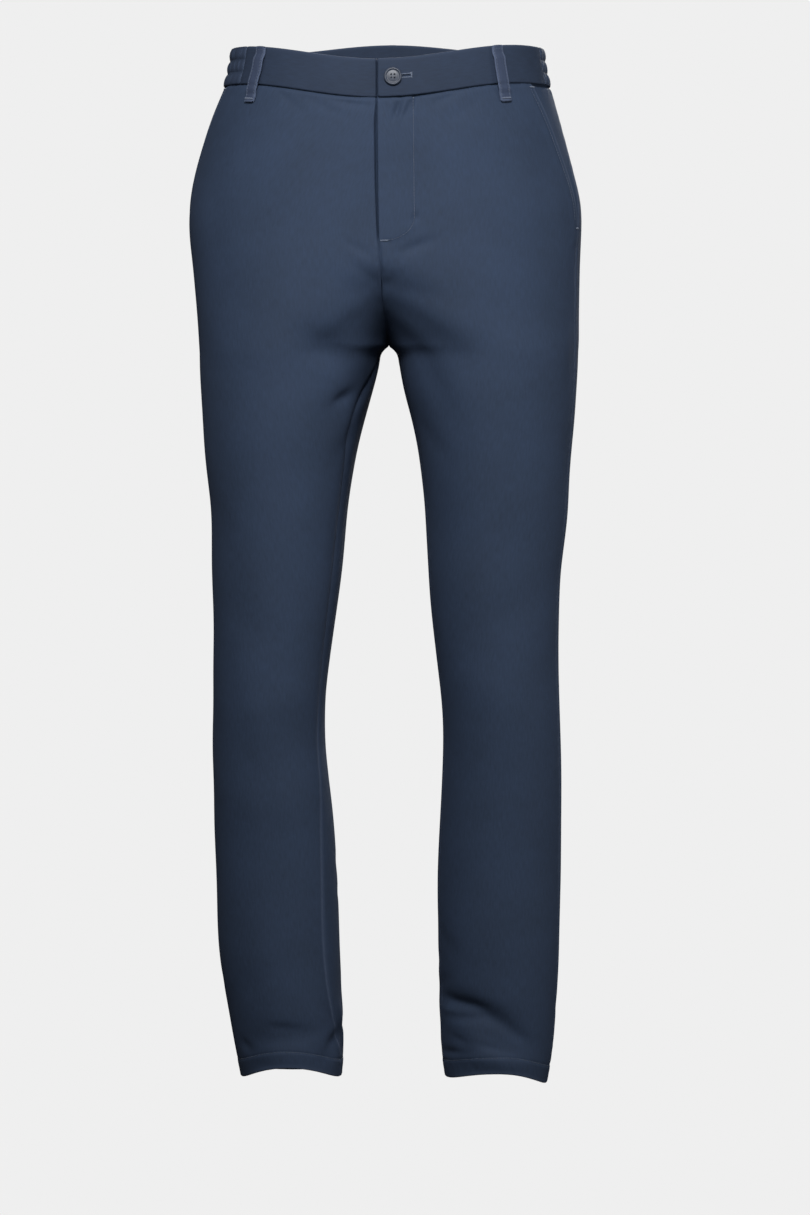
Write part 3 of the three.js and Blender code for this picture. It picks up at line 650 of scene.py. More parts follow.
    def end_turns(self, side: Side, depths: Array, front: bool, from_seam: Array, fly: float) -> Array:
        """The turns of a panel's last columns.

        Above the fly's end they keep their distances from the centre seam, and by the crotch they have
        spread to even turns round the inside of the leg.

        Args:
            side: Which side.
            depths: The depth of each row.
            front: True for the front panel.
            from_seam: The columns' distances from the centre seam, down to 0.
            fly: The depth at which they begin to spread.

        Returns:
            The turns, as row by column.
        """
        sign = 1 if front else -1
        share = np.arange(len(from_seam)) / (len(from_seam) - 1)
        z = -depths
        _, closing, outer, inner, _ = self.section(side, z, np.array(front))
        at = np.where(depths > self.tilt_ends, z, -self.tilt_ends)
        last = self.inner_turn(side, at, front)[:, None]
        below = sign * 90 + (last - sign * 90) * share
        reach = (inner * closing)[:, None]
        even = reach * (1 - np.sin(np.radians(90 * share)) ** (2 / self.squareness))
        spread = smooth(fly, self.rise, depths)[:, None]
        distance = from_seam + (even - from_seam) * spread
        beyond = sign * self.turn_for((distance - reach) / outer[:, None])
        within = sign * (180 - self.turn_for((reach - distance) / inner[:, None]))
        above = np.where(distance >= reach, beyond, within)
        return np.where((depths >= self.rise)[:, None], below, above)


def span(*stretches: tuple[float, float, float]) -> Array:
    """Values closer together where more is going on.

    Args:
        stretches: For each stretch, its start, its end and the step to keep within it.

    Returns:
        The rising values, each once.
    """
    parts = []
    for start, end, step in stretches:
        count = max(int(round((end - start) / step)), 1)
        parts.append(np.linspace(start, end, count + 1)[:-1])
    parts.append(np.array([stretches[-1][1]]))
    return np.concatenate(parts)


class ClothMesh:
    """Turns two grids of points, a cloth's outer and inner face, into one closed mesh."""

    rim_steps = 3

    def __init__(self, name: str, outer: Array, inner: Array, place: Array) -> None:
        """Join the faces round their edge.

        Args:
            name: The piece's name.
            outer: The outer face's points, as row by column by xyz, in millimetres.
            inner: The inner face's points.
            place: Where each point is on the flat cloth, across and down, in millimetres, and how far
            it lies on a pressed edge, from 0 to 1, where the cloth takes a paler worn colour that is
            partly painted highlight.
        """
        rows, columns = outer.shape[:2]
        self.points = [outer.reshape(-1, 3), inner.reshape(-1, 3)]
        self.places = [place.reshape(-1, 3)] * 2
        self.count = 2 * rows * columns
        self.faces: list[Array] = []
        grid = np.arange(rows * columns).reshape(rows, columns)
        back = grid + rows * columns
        self._cells(grid)
        self._cells(back[:, ::-1])
        edges = (
            (outer[:, -1], inner[:, -1], outer[:, -2], place[:, -1], grid[:, -1], back[:, -1]),
            (
                outer[::-1, 0], inner[::-1, 0], outer[::-1, 1],
                place[::-1, 0], grid[::-1, 0], back[::-1, 0],
            ),
            (outer[0], inner[0], outer[1], place[0], grid[0], back[0]),
            (
                outer[-1, ::-1], inner[-1, ::-1], outer[-2, ::-1],
                place[-1, ::-1], grid[-1, ::-1], back[-1, ::-1],
            ),
        )
        rims = [self._rim(*edge) for edge in edges]
        right, left, top, bottom = rims
        corners = (
            (top[:, -1], right[:, 0]),
            (right[:, -1], bottom[:, 0]),
            (bottom[:, -1], left[:, 0]),
            (left[:, -1], top[:, 0]),
        )
        self.corners = [np.concatenate([one, other[-2:0:-1]]) for one, other in corners]
        self.name = name

    def _cells(self, grid: Array) -> None:
        """Add the four-sided faces of a grid of point numbers."""
        a, b, c, d = grid[:-1, :-1], grid[1:, :-1], grid[1:, 1:], grid[:-1, 1:]
        self.faces.append(np.stack([a, b, c, d], -1).reshape(-1, 4))

    def _rim(
        self, outer: Array, inner: Array, within: Array, place: Array, first: Array, last: Array
    ) -> Array:
        """Round off one edge.

        Args:
            outer: The edge's points on the outer face.
            inner: The same on the inner face.
            within: The next points in on the outer face.
            place: Where the edge is on the flat cloth.
            first: Point numbers of the outer edge.
            last: Point numbers of the inner edge.

        Returns:
            Point numbers round the rim, from the outer to the inner face.
        """
        middle = (outer + inner) / 2
        radius = (outer - inner) / 2
        beyond = outer - within
        normal = radius / np.maximum(np.linalg.norm(radius, axis=-1, keepdims=True), 1e-9)
        beyond = beyond - normal * np.sum(beyond * normal, -1, keepdims=True)
        beyond = beyond / np.maximum(np.linalg.norm(beyond, axis=-1, keepdims=True), 1e-9)
        size = np.linalg.norm(radius, axis=-1, keepdims=True)
        lines = [first]
        for step in range(1, self.rim_steps + 1):
            angle = np.pi * step / (self.rim_steps + 1)
            points = middle + radius * np.cos(angle) + beyond * size * np.sin(angle)
            lines.append(np.arange(len(points)) + self.count)
            self.points.append(points)
            self.places.append(place)
            self.count += len(points)
        lines.append(last)
        strip = np.array(lines)
        self._cells(strip.T)
        return strip

    def build(self) -> bpy.types.Object:
        """Make the object, with its faces turned outwards and where each point is on the flat cloth.

        Returns:
            The object, in metres.
        """
        points = np.concatenate(self.points) * MM
        quads = np.concatenate(self.faces)
        a, b, c, d = (points[quads[:, k]] for k in range(4))
        volume = np.sum(a * np.cross(b, c)) + np.sum(a * np.cross(c, d))
        rings = [list(ring) for ring in self.corners]
        if volume < 0:
            quads = quads[:, ::-1]
        mesh = bpy.data.meshes.new(self.name)
        mesh.from_pydata(points.tolist(), [], quads.tolist() + rings)
        mesh.validate()
        place = np.concatenate(self.places) * np.array([MM, MM, 1])
        layer = mesh.attributes.new("cloth", "FLOAT_VECTOR", "POINT")
        layer.data.foreach_set("vector", place.ravel())
        mesh.shade_smooth()
        thing = bpy.data.objects.new(self.name, mesh)
        bpy.context.scene.collection.objects.link(thing)
        return thing


def bare_mesh(name: str, points: Array, faces: list[list[int]]) -> bpy.types.Object:
    """Make an object from points in millimetres and faces, smooth all over."""
    mesh = bpy.data.meshes.new(name)
    mesh.from_pydata((points * MM).tolist(), [], faces)
    mesh.shade_smooth()
    thing = bpy.data.objects.new(name, mesh)
    bpy.context.scene.collection.objects.link(thing)
    return thing


@dataclass(frozen=True)
class Colour:
    """A colour as it is seen, each part from 0 to 255."""

    red: float
    green: float
    blue: float

    def linear(self, gain: float = 1.0) -> tuple[float, float, float, float]:
        """The colour as a shader reads it, brighter or darker by a gain."""
        parts = (self.red / 255, self.green / 255, self.blue / 255)
        lit = [p / 12.92 if p <= 0.04045 else ((p + 0.055) / 1.055) ** 2.4 for p in parts]
        return (lit[0] * gain, lit[1] * gain, lit[2] * gain, 1.0)


class Graph:
    """A node tree with short ways to add and join nodes."""

    def __init__(self, tree: bpy.types.NodeTree) -> None:
        """Take over a tree."""
        self.tree = tree

    def add(
        self, kind: str, inputs: dict[str | int, object] | None = None, **settings: object
    ) -> bpy.types.Node:
        """Add a node.

        Args:
            kind: The node's type name, without its ShaderNode prefix.
            inputs: Values or sockets for its inputs, by name or number.
            settings: Its own properties.

        Returns:
            The node.
        """
        made = self.tree.nodes.new("ShaderNode" + kind)
        for key, value in settings.items():
            setattr(made, key, value)
        for key, value in (inputs or {}).items():
            if isinstance(value, bpy.types.NodeSocket):
                self.tree.links.new(value, made.inputs[key])
            else:
                made.inputs[key].default_value = value
        return made

    def maths(self, operation: str, *values: object) -> bpy.types.NodeSocket:
        """Add a Math node and give its result."""
        return self.add("Math", dict(enumerate(values)), operation=operation).outputs[0]

    def blend(self, share: object, first: object, second: object) -> bpy.types.NodeSocket:
        """Mix two colours and give the result."""
        mix = self.add("Mix", {0: share, 6: first, 7: second}, data_type="RGBA")
        return mix.outputs[2]


def new_material(name: str, seen: Colour) -> tuple[bpy.types.Material, Graph]:
    """Make a material with nothing in it yet.

    Args:
        name: Its name.
        seen: Its colour where no shader is shown.

    Returns:
        The material, and its graph.
    """
    made = bpy.data.materials.new(name)
    made.use_nodes = True
    made.node_tree.nodes.clear()
    made.diffuse_color = seen.linear()
    return made, Graph(made.node_tree)


class TwillWeave:
    """The node group of a fine twill: diagonal ribs, crossing yarns, flecks and slow unevenness."""

    name = "fine_twill"

    @classmethod
    def group(cls) -> bpy.types.NodeTree:
        """The group, made when it is first asked for.

        Returns:
            The group, with the sockets Rib, Fleck and Cloud in, and Height and Shade out.
        """
        if cls.name in bpy.data.node_groups:
            return bpy.data.node_groups[cls.name]
        tree = bpy.data.node_groups.new(cls.name, "ShaderNodeTree")
        for label, value in (("Rib", 0.0009), ("Fleck", 0.2), ("Cloud", 0.5)):
            socket = tree.interface.new_socket(label, in_out="INPUT", socket_type="NodeSocketFloat")
            socket.default_value = value
        for label in ("Height", "Shade"):
            tree.interface.new_socket(label, in_out="OUTPUT", socket_type="NodeSocketFloat")
        graph = Graph(tree)
        given = tree.nodes.new("NodeGroupInput").outputs
        result = tree.nodes.new("NodeGroupOutput").inputs
        cloth = graph.add("Attribute", attribute_name="cloth").outputs["Vector"]
        parts = graph.add("SeparateXYZ", {0: cloth}).outputs
        across = graph.maths("MULTIPLY", parts[0], 0.86)
        down = graph.maths("MULTIPLY", parts[1], 0.5)
        along = graph.maths("ADD", across, down)
        turns = graph.maths("DIVIDE", graph.maths("MULTIPLY", along, 2 * np.pi), given["Rib"])
        yarn_turns = graph.maths("DIVIDE", graph.maths("MULTIPLY", parts[1], 9.0), given["Rib"])
        rib = graph.maths("MULTIPLY", graph.maths("ADD", graph.maths("SINE", turns), 1.0), 0.38)
        yarn = graph.maths("MULTIPLY", graph.maths("ADD", graph.maths("SINE", yarn_turns), 1.0), 0.12)
        drawn = graph.add("VectorMath", {0: cloth, 1: (1.0, 0.16, 1.0)}, operation="MULTIPLY").outputs[0]
        fleck = graph.add("TexNoise", {"Vector": drawn, "Scale": 620.0, "Detail": 3.0, "Roughness": 0.62})
        cloud = graph.add("TexNoise", {"Vector": cloth, "Scale": 14.0, "Detail": 4.0, "Roughness": 0.55})
        weave = graph.maths("ADD", rib, yarn)
        graph.tree.links.new(weave, result["Height"])
        flecks = graph.maths("MULTIPLY", graph.maths("SUBTRACT", fleck.outputs[0], 0.5), given["Fleck"])
        clouds = graph.maths("MULTIPLY", graph.maths("SUBTRACT", cloud.outputs[0], 0.5), given["Cloud"])
        woven = graph.maths("MULTIPLY", graph.maths("SUBTRACT", weave, 0.5), 0.25)
        shade = graph.maths("ADD", graph.maths("ADD", flecks, clouds), graph.maths("ADD", woven, 0.5))
        graph.tree.links.new(shade, result["Shade"])
        return tree


@dataclass(frozen=True)
class TwillFinish:
    """Fine stretch twill with a soft sheen, a little lighter where edges are pressed: partly worn fading,
    partly painted highlight.
    """

    name: str
    deep: Colour
    light: Colour
    # paler colour of pressed edges, partly worn fading and partly painted highlight; also the sheen's
    # tint
    worn: Colour
    roughness: float = 0.78
    sheen: float = 0.12
    rib: float = 0.0009  # from one diagonal rib to the next, in metres
    fleck: float = 0.9
    cloud: float = 0.7
    wear: float = 0.8  # how much of the paler worn colour, partly painted highlight, a pressed edge shows

    def material(self) -> bpy.types.Material:
        """Build the material.

        Returns:
            The material.
        """
        made, graph = new_material(self.name, self.light)
        given = {"Rib": self.rib, "Fleck": self.fleck, "Cloud": self.cloud}
        weave = graph.add("Group", given, node_tree=TwillWeave.group())
        cloth = graph.add("Attribute", attribute_name="cloth").outputs["Vector"]
        edge = graph.add("SeparateXYZ", {0: cloth}).outputs[2]
        dyed = graph.blend(weave.outputs["Shade"], self.deep.linear(), self.light.linear())
        # Pressed edges turn towards the paler worn colour: partly fading, partly painted highlight.
        pressed = graph.blend(graph.maths("MULTIPLY", edge, self.wear), dyed, self.worn.linear())
        raised = {"Height": weave.outputs["Height"], "Strength": 0.35, "Distance": 0.00025}
        bump = graph.add("Bump", raised)
        varied = graph.maths("MULTIPLY", weave.outputs["Shade"], 0.12)
        rough = graph.maths("ADD", varied, self.roughness - 0.06)
        shader = graph.add("BsdfPrincipled", {
            "Base Color": pressed, "Roughness": rough, "Normal": bump.outputs[0],
            "Sheen Weight": self.sheen, "Sheen Roughness": 0.45,
            "Sheen Tint": self.worn.linear(), "Specular IOR Level": 0.25,
        })
        graph.add("OutputMaterial", {"Surface": shader.outputs[0]})
        return made


@dataclass(frozen=True)
class ThreadFinish:
    """Twisted sewing thread."""

    name: str
    dark: Colour
    light: Colour
    twist: float = 1900.0

    def material(self) -> bpy.types.Material:
        """Build the material.

        Returns:
            The material.
        """
        made, graph = new_material(self.name, self.light)
        place = graph.add("NewGeometry").outputs["Position"]
        grain = graph.add("TexNoise", {"Vector": place, "Scale": self.twist, "Detail": 2.0})
        colour = graph.blend(grain.outputs[0], self.dark.linear(), self.light.linear())
        bump = graph.add("Bump", {"Height": grain.outputs[0], "Strength": 0.3, "Distance": 0.0001})
        rough = graph.maths("ADD", graph.maths("MULTIPLY", grain.outputs[0], 0.2), 0.45)
        shader = graph.add("BsdfPrincipled", {
            "Base Color": colour, "Roughness": rough, "Normal": bump.outputs[0],
            "Sheen Weight": 0.3, "Sheen Roughness": 0.4,
        })
        graph.add("OutputMaterial", {"Surface": shader.outputs[0]})
        return made


@dataclass(frozen=True)
class ButtonFinish:
    """Dark blue-grey button resin with a faint cloudy grain and fine scratches."""

    name: str
    dark: Colour
    light: Colour
    roughness: float = 0.42

    def material(self) -> bpy.types.Material:
        """Build the material.

        Returns:
            The material.
        """
        made, graph = new_material(self.name, self.light)
        place = graph.add("NewGeometry").outputs["Position"]
        grain = graph.add("TexNoise", {"Vector": place, "Scale": 230.0, "Detail": 4.0, "Distortion": 1.2})
        scratch = graph.add("TexNoise", {"Vector": place, "Scale": 1600.0, "Detail": 3.0})
        colour = graph.blend(grain.outputs[0], self.dark.linear(), self.light.linear())
        rough = graph.maths("ADD", graph.maths("MULTIPLY", grain.outputs[0], 0.18), self.roughness - 0.08)
        bump = graph.add("Bump", {"Height": scratch.outputs[0], "Strength": 0.12, "Distance": 0.0001})
        shader = graph.add("BsdfPrincipled", {
            "Base Color": colour, "Roughness": rough, "Normal": bump.outputs[0],
            "Specular IOR Level": 0.4, "Coat Weight": 0.08, "Coat Roughness": 0.25,
        })
        graph.add("OutputMaterial", {"Surface": shader.outputs[0]})
        return made


@dataclass
class Wardrobe:
    """The finishes, each made once, and the way a piece is dressed in one."""

    cloth: bpy.types.Material = field(init=False)
    loop_cloth: bpy.types.Material = field(init=False)
    band_cloth: bpy.types.Material = field(init=False)
    thread: bpy.types.Material = field(init=False)
    tack_thread: bpy.types.Material = field(init=False)
    button: bpy.types.Material = field(init=False)

    def __post_init__(self) -> None:
        """Make the materials."""
        # Each twill's third colour is the paler colour of its pressed edges: partly worn fading, partly
        # painted highlight.
        self.cloth = TwillFinish(
            "navy_twill", Colour(36, 47, 64), Colour(51, 66, 91), Colour(80, 93, 118)
        ).material()
        self.loop_cloth = TwillFinish(
            "navy_twill_loops", Colour(43, 52, 70), Colour(59, 70, 95), Colour(74, 85, 108)
        ).material()
        # The band's twill is a darker copy of the cloth's: painted shade, for cross-grain cloth that
        # gives back less light.
        self.band_cloth = TwillFinish(
            "navy_twill_band", Colour(31, 40, 55), Colour(44, 57, 79), Colour(68, 80, 104)
        ).material()
        self.thread = ThreadFinish("navy_thread", Colour(52, 62, 80), Colour(80, 92, 113)).material()
        self.tack_thread = ThreadFinish(
            "pale_navy_thread", Colour(66, 76, 94), Colour(106, 117, 138)
        ).material()
        self.button = ButtonFinish("navy_resin", Colour(30, 36, 48), Colour(56, 65, 82)).material()

    def dress(
        self, thing: bpy.types.Object, material: bpy.types.Material, slot: str = "cloth"
    ) -> bpy.types.Object:
        """Give a piece its material and its body.

        Args:
            thing: The piece.
            material: What it is finished in.
            slot: Not used.

        Returns:
            The piece.
        """
        thing.data.materials.clear()
        thing.data.materials.append(material)
        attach(thing, ROOT)
        LOG.info("%s: %d faces", thing.name, len(thing.data.polygons))
        return thing


@dataclass(frozen=True)
class Fly:
    """The buttoned fly: where the left front laps over the right one and is stitched down."""

    bottom: float = 196.0  # depth at which it ends
    curve: float = 25.0  # height of the stitching's curved end
    roundness: float = 2.1  # 2 is an ellipse
    width: float = 35.0  # from the front edge to the stitching
    blend: float = 6.0  # how far past it the raised cloth levels out
    lift: float = 1.0  # how far the left front stands over what lies under it
    lift_ends: float = 210.0
    underlap: float = 12.0  # how far the right front runs on under the left one
    underlap_ends: float = 190.0
    gap: float = 2.9  # where the right front shows beside the lapped edge, sunk in shadow
    least_gap: float = 0.9  # its width at the waistband
    gap_opens: tuple[float, float] = (40.0, 66.0)  # depths between which it widens
    gap_narrows: float = 118.0  # depth from which it narrows again
    gap_depth: float = 7.0
    fold: float = 1.1  # more cloth at the folded edge
    fold_width: float = 9.0

    def gap_at(self, depth: Array) -> Array:
        """Width of the gap beside the front edge at each depth."""
        opens = smooth(*self.gap_opens, depth)
        closes = 1 - smooth(self.gap_narrows, self.bottom - 4, depth)
        return self.least_gap + (self.gap - self.least_gap) * opens * (0.25 + 0.75 * closes)

    def sink_at(self, depth: Array, from_edge: Array) -> Array:
        """How far the right front sinks in beside and under the left one."""
        width = self.gap_at(depth)
        inside = 1 - smooth(0.1, width + 1.3, from_edge)
        return self.gap_depth * inside * (1 - smooth(self.bottom - 12, self.bottom + 3, depth))

    def width_at(self, depth: Array) -> Array:
        """The fly's width at each depth, down to the end of its curved stitching."""
        into = np.clip((depth - (self.bottom - self.curve)) / self.curve, 0, 1)
        return self.width * (1 - into**self.roundness) ** (1 / self.roundness)

    def lift_at(self, depth: Array, from_edge: Array) -> Array:
        """How far the left front stands out over the fly."""
        width = self.width_at(depth)
        inside = 1 - smooth(width, width + self.blend, from_edge)
        return self.lift * inside * (1 - smooth(self.lift_ends - 14, self.lift_ends, depth))

    def from_stitching(self, depth: Array, from_edge: Array) -> Array:
        """About how far each place is from the line of stitching."""
        down = np.maximum(0, depth - (self.bottom - self.curve)) / self.curve
        over = np.maximum(0, from_edge) / self.width
        return ((over**self.roundness + down**self.roundness) ** (1 / self.roundness) - 1) * self.width

    def stitching(self, top: float) -> tuple[Array, Array]:
        """The line of stitching.

        Args:
            top: The depth at which it starts.

        Returns:
            The depths of its points, and their distances from the front edge.
        """
        straight = np.linspace(top, self.bottom - self.curve, 60)
        turn = np.linspace(0, np.pi / 2, 40)[1:]
        bend = 2 / self.roundness
        depth = np.concatenate([straight, self.bottom - self.curve * (1 - np.sin(turn) ** bend)])
        across = np.concatenate([np.full(len(straight), self.width), self.width * np.cos(turn) ** bend])
        return depth, across


@dataclass(frozen=True)
class SlashPocket:
    """The slanted opening of the side pocket."""

    top: float = 54.0  # distance from the side seam at the waistband
    bottom: float = 190.0  # depth at which it runs into the side seam
    lip: float = 9.0  # width of the raised cloth beside the opening
    lip_ends: float = 20.0  # and how far from the opening it is level with the rest
    lift: float = 1.0
    fades: float = 14.0  # how far below its end the lip still shows
    facing_under: float = 8.0  # how far the facing runs on under the edge
    facing_ends: float = 182.0  # depth of its lower end
    stitched: float = 6.5  # from its edge to the line of stitching

    def edge(self, depth: Array, band: float) -> Array:
        """Distance of the opening's edge from the side seam."""
        return self.top * np.maximum(0, (self.bottom - depth) / (self.bottom - band))


def seam(distance: Array, along: Array, shift: float) -> Array:
    """The relief beside a pressed seam: a low ridge over its allowance, a groove, and small puckers.

    Args:
        distance: Distance from the seam.
        along: Distance along it.
        shift: Moves the puckers.

    Returns:
        How far out the cloth stands.
    """
    ridge = 0.25 * (1 - smooth(6, 10, distance))
    pucker = 0.2 * uneven(along, 14.0, shift) * (1 - smooth(2, 15, distance))
    return ridge + pucker - 0.6 * bell(distance, 1.2)


@dataclass
class LegPanels:
    """The four leg panels and the facings behind the pockets' edges."""

    form: WornForm
    wardrobe: Wardrobe
    fly: Fly = field(default_factory=Fly)
    pocket: SlashPocket = field(default_factory=SlashPocket)
    cloth: float = 1.1  # its thickness
    tucked: float = 3.2  # how far the panels run on up behind the waistband
    sunk: float = 1.9  # and how deep they lie there
    hem: float = 20.0  # height of the turned-up hem
    hem_stitched: float = 18.5  # height of its stitching
    hem_wall: float = 2.4  # its thickness
    hem_stands: float = 0.35  # how much further out it is than the cloth above
    meets: float = 0.3  # how far the edges run on to meet at the side seams
    closes: float = 0.9  # and at the centre seams and inseams
    pull: dict[Side, float] = field(default_factory=lambda: {LEFT: 0.6, RIGHT: 2.8})  # at the inseam
    pulled: float = 5.5  # and how wide the strip beside it is that is drawn in
    pull_fades: tuple[float, float] = (560.0, 760.0)  # depths between which that ends
    crevice: float = 1.3  # depth of the pull along the centre front and back seams
    pressed: float = 1.3  # how far their edges push together near the crotch
    presses: tuple[float, float] = (218.0, 252.0)  # depths between which they start to
    ridge: dict[Side, float] = field(default_factory=lambda: {LEFT: 0.45, RIGHT: 0.95})  # how strongly the inseam's edge takes the paler worn colour, partly painted highlight
    front_cut: tuple[float, float] = (0.305, 1.07)
    back_cut: tuple[float, float] = (0.375, 1.10)

    def rows(self) -> Array:
        """Depths of a panel's rows, closer where seams and stitching shape it."""
        return span(
            (self.form.band - self.tucked, self.form.band - 0.3, 1.2), (self.form.band - 0.3, 46, 0.8),
            (46, 64, 2.2), (64, 1022, 2.95), (1022, 1030, 2),
            (1030, 1040, 1), (1040, self.form.outseam - self.hem_wall / 2, 2),
        )

    def wall(self, depth: Array) -> Array:
        """The cloth's thickness, doubled where the hem is turned up."""
        turned = self.form.outseam - self.hem
        return self.cloth + (self.hem_wall - self.cloth) * smooth(turned - 0.8, turned + 0.8, depth)

    def hem_relief(self, depth: Array, along: Array, shift: float) -> Array:
        """How the turned-up hem and its stitching stand in the cloth."""
        line = self.form.outseam - self.hem_stitched
        stands = self.hem_stands * smooth(line - 1, line + 2, depth)
        roping = 0.22 * uneven(along + 0.6 * depth, 12.0, shift) * smooth(line - 4, line + 5, depth)
        return stands + roping - 0.4 * bell(depth - line, 1.1)

    def centre_pull(self, depth: Array, from_seam: Array) -> Array:
        """How the centre seams lie in the cloth: drawn in, then pressed together near the crotch."""
        low = smooth(*self.presses, depth)
        legs = smooth(self.form.rise - 1, self.form.rise + 3, depth)
        pressed = self.pressed * low * (1 - legs) * bell(from_seam, 1.8)
        return pressed - self.crevice * (1 - low) * bell(from_seam, 1.1)

    def inseam_pull(self, side: Side, depth: Array, from_seam: Array) -> Array:
        """How the inseam draws the cloth in beside it down the thigh."""
        starts = smooth(self.form.rise - 4, self.form.rise + 40, depth)
        down = starts * (1 - smooth(*self.pull_fades, depth))
        return self.pull[side] * bell(from_seam, self.pulled) * down

    def top_relief(self, depth: Array, along: Array, shift: float) -> Array:
        """How the cloth sinks in under the waistband, with small puckers."""
        below = np.maximum(0, depth - self.form.band - 0.3)
        pucker = 0.3 * uneven(along, 19.0, shift) * (1 - smooth(2, 24, below)) * smooth(0, 3, below)
        return pucker - self.sunk * bell(below, 1.4)

    def shell(
        self, name: str, course: Course, depths: Array, distance: Array, offset: Array, edge: Array,
        fold: Array | float = 0.0,
    ) -> bpy.types.Object:
        """Make a panel from the places of its points and how far each stands out.

        Args:
            name: The piece's name.
            course: Its rows.
            depths: The depth of each row.
            distance: The points' distances along the rows.
            offset: How far out of the form each stands.
            edge: How far each lies on a pressed edge, from 0 to 1: the mask of the paler worn colour,
                partly painted highlight.
            fold: How much thicker the cloth is at each.

        Returns:
            The piece.
        """
        wall = self.wall(depths)[:, None] + fold
        outer = course.at(distance, offset)
        inner = course.at(distance, offset - wall)
        place = np.stack(np.broadcast_arrays(distance, depths[:, None], edge), -1)
        return ClothMesh(name, outer, inner, place).build()

    def front(self, side: Side) -> bpy.types.Object:
        """Build one front panel, from the pocket's edge to the fly and down to the hem."""
        depths = self.rows()
        rim = self.cloth / 2
        course = self.form.panel_course(side, depths, True, spare=24)
        start = self.pocket.edge(np.maximum(depths, self.form.band), self.form.band) + rim
        lead = start[:, None] + np.array([0, 0.8, 1.8, 3, 4.3, 5.4, 6.5, 7.6, 9, 11, 13.5, 16.5, 20])
        near = np.array([5.4, 4.6, 4, 3.4, 2.9, 2.4, 1.9, 1.3, 0])
        from_fly = span((6.4, 32, 1.6), (32, 38, 1), (38, self.fly.width + self.fly.blend, 1.5))[::-1]
        from_fly = np.concatenate([from_fly, near])
        turns = self.form.end_turns(side, depths, True, from_fly, self.fly.bottom)
        ends = course.distance_at(turns)
        below_fly = smooth(self.fly.bottom, self.fly.bottom + 4, depths)
        ends[:, -1] = course.length - rim + self.closes * below_fly
        share = np.linspace(0, 1, 42)[1:-1]
        middle = lead[:, -1:] + (ends[:, :1] - lead[:, -1:]) * share
        distance = np.concatenate([lead, middle, ends], 1)
        depth = depths[:, None]
        from_start = distance - start[:, None]
        from_end = course.length[:, None] - distance
        if side is RIGHT:
            lowest = self.fly.underlap_ends
            narrows = 1 - smooth(lowest - self.fly.underlap, lowest, depth)
            distance = distance + self.fly.underlap * narrows * np.maximum(0, 1 - from_end / 1.2)
        over = course.length[:, None] - distance
        shift = 0.7 + side.value
        open_top = 1 - smooth(self.pocket.bottom, self.pocket.bottom + self.pocket.fades, depth)
        lip = (1 - smooth(self.pocket.lip, self.pocket.lip_ends, from_start)) * open_top
        sewn = bell(from_start - self.pocket.stitched, 0.9) * open_top
        offset = self.pocket.lift * lip - 0.28 * sewn
        offset = offset + seam(from_start, depth, shift) * (1 - open_top)
        closed = smooth(self.fly.bottom - 4, self.fly.bottom + 8, depth)
        offset = offset + seam(from_end, depth, shift + 2) * closed
        for pucker in FRONT_PUCKERS:
            if pucker.side is side:
                offset = offset + pucker.lift(depth, over)
        fold: Array | float = 0.0
        if side is LEFT:
            stitched = bell(self.fly.from_stitching(depth, from_end), 0.9) * (depth < self.fly.bottom)
            offset = offset + self.fly.lift_at(depth, from_end) - 0.3 * stitched
            folded = 1 - smooth(self.fly.fold_width - 3, self.fly.fold_width, from_end)
            fold = self.fly.fold * folded * (1 - closed)
        else:
            offset = offset - self.fly.sink_at(depth, over)
        along = distance + side.value * 31
        offset = offset + self.top_relief(depth, along, shift) + self.hem_relief(depth, along, shift)
        legs = smooth(self.form.rise - 6, self.form.rise + 14, depth)
        offset = offset + self.centre_pull(depth, from_end) * closed
        offset = offset - self.inseam_pull(side, depth, from_end)
        # Paler worn colour, partly painted highlight, along the pocket's edge, the inseam and the hem.
        edge = np.maximum(0.5 * bell(from_start, 1.6), self.ridge[side] * bell(from_end, 1.6) * legs)
        edge = np.maximum(edge, 0.6 * bell(self.form.outseam - depth, 1.8))
        return self.shell(f"front_panel_{side.word}", course, depths, distance, offset, edge, fold)

    def back(self, side: Side) -> bpy.types.Object:
        """Build one back panel, from the side seam to the centre back and down to the hem."""
        depths = self.rows()
        rim = self.cloth / 2
        course = self.form.panel_course(side, depths, False, spare=3)
        lead = rim + np.array([-self.meets, 0.9, 2, 3.4, 5, 7, 9.5, 12])[None] + 0 * depths[:, None]
        from_seam = np.concatenate([span((0, 64, 1.9))[:1:-1], [1.5, 0]])
        turns = self.form.end_turns(side, depths, False, from_seam, self.fly.bottom)
        ends = course.distance_at(turns)
        ends[:, -1] = course.length - rim + self.closes
        share = np.linspace(0, 1, 46)[1:-1]
        middle = lead[:, -1:] + (ends[:, :1] - lead[:, -1:]) * share
        distance = np.concatenate([lead, middle, ends], 1)
        depth = depths[:, None]
        from_end = course.length[:, None] - distance
        shift = 3.1 + side.value
        offset = seam(distance, depth, shift) + seam(from_end, depth, shift + 1.4)
        along = distance + side.value * 57
        offset = offset + self.top_relief(depth, along, shift) + self.hem_relief(depth, along, shift)
        legs = smooth(self.form.rise - 6, self.form.rise + 14, depth)
        offset = offset + self.centre_pull(depth, from_end)
        offset = offset - self.inseam_pull(side, depth, from_end)
        # Paler worn colour, partly painted highlight, along the side seam, the inner edge and the hem.
        edge = np.maximum(0.5 * bell(distance, 1.6), 0.4 * bell(from_end, 1.6) * legs)
        edge = np.maximum(edge, 0.6 * bell(self.form.outseam - depth, 1.8))
        return self.shell(f"back_panel_{side.word}", course, depths, distance, offset, edge)

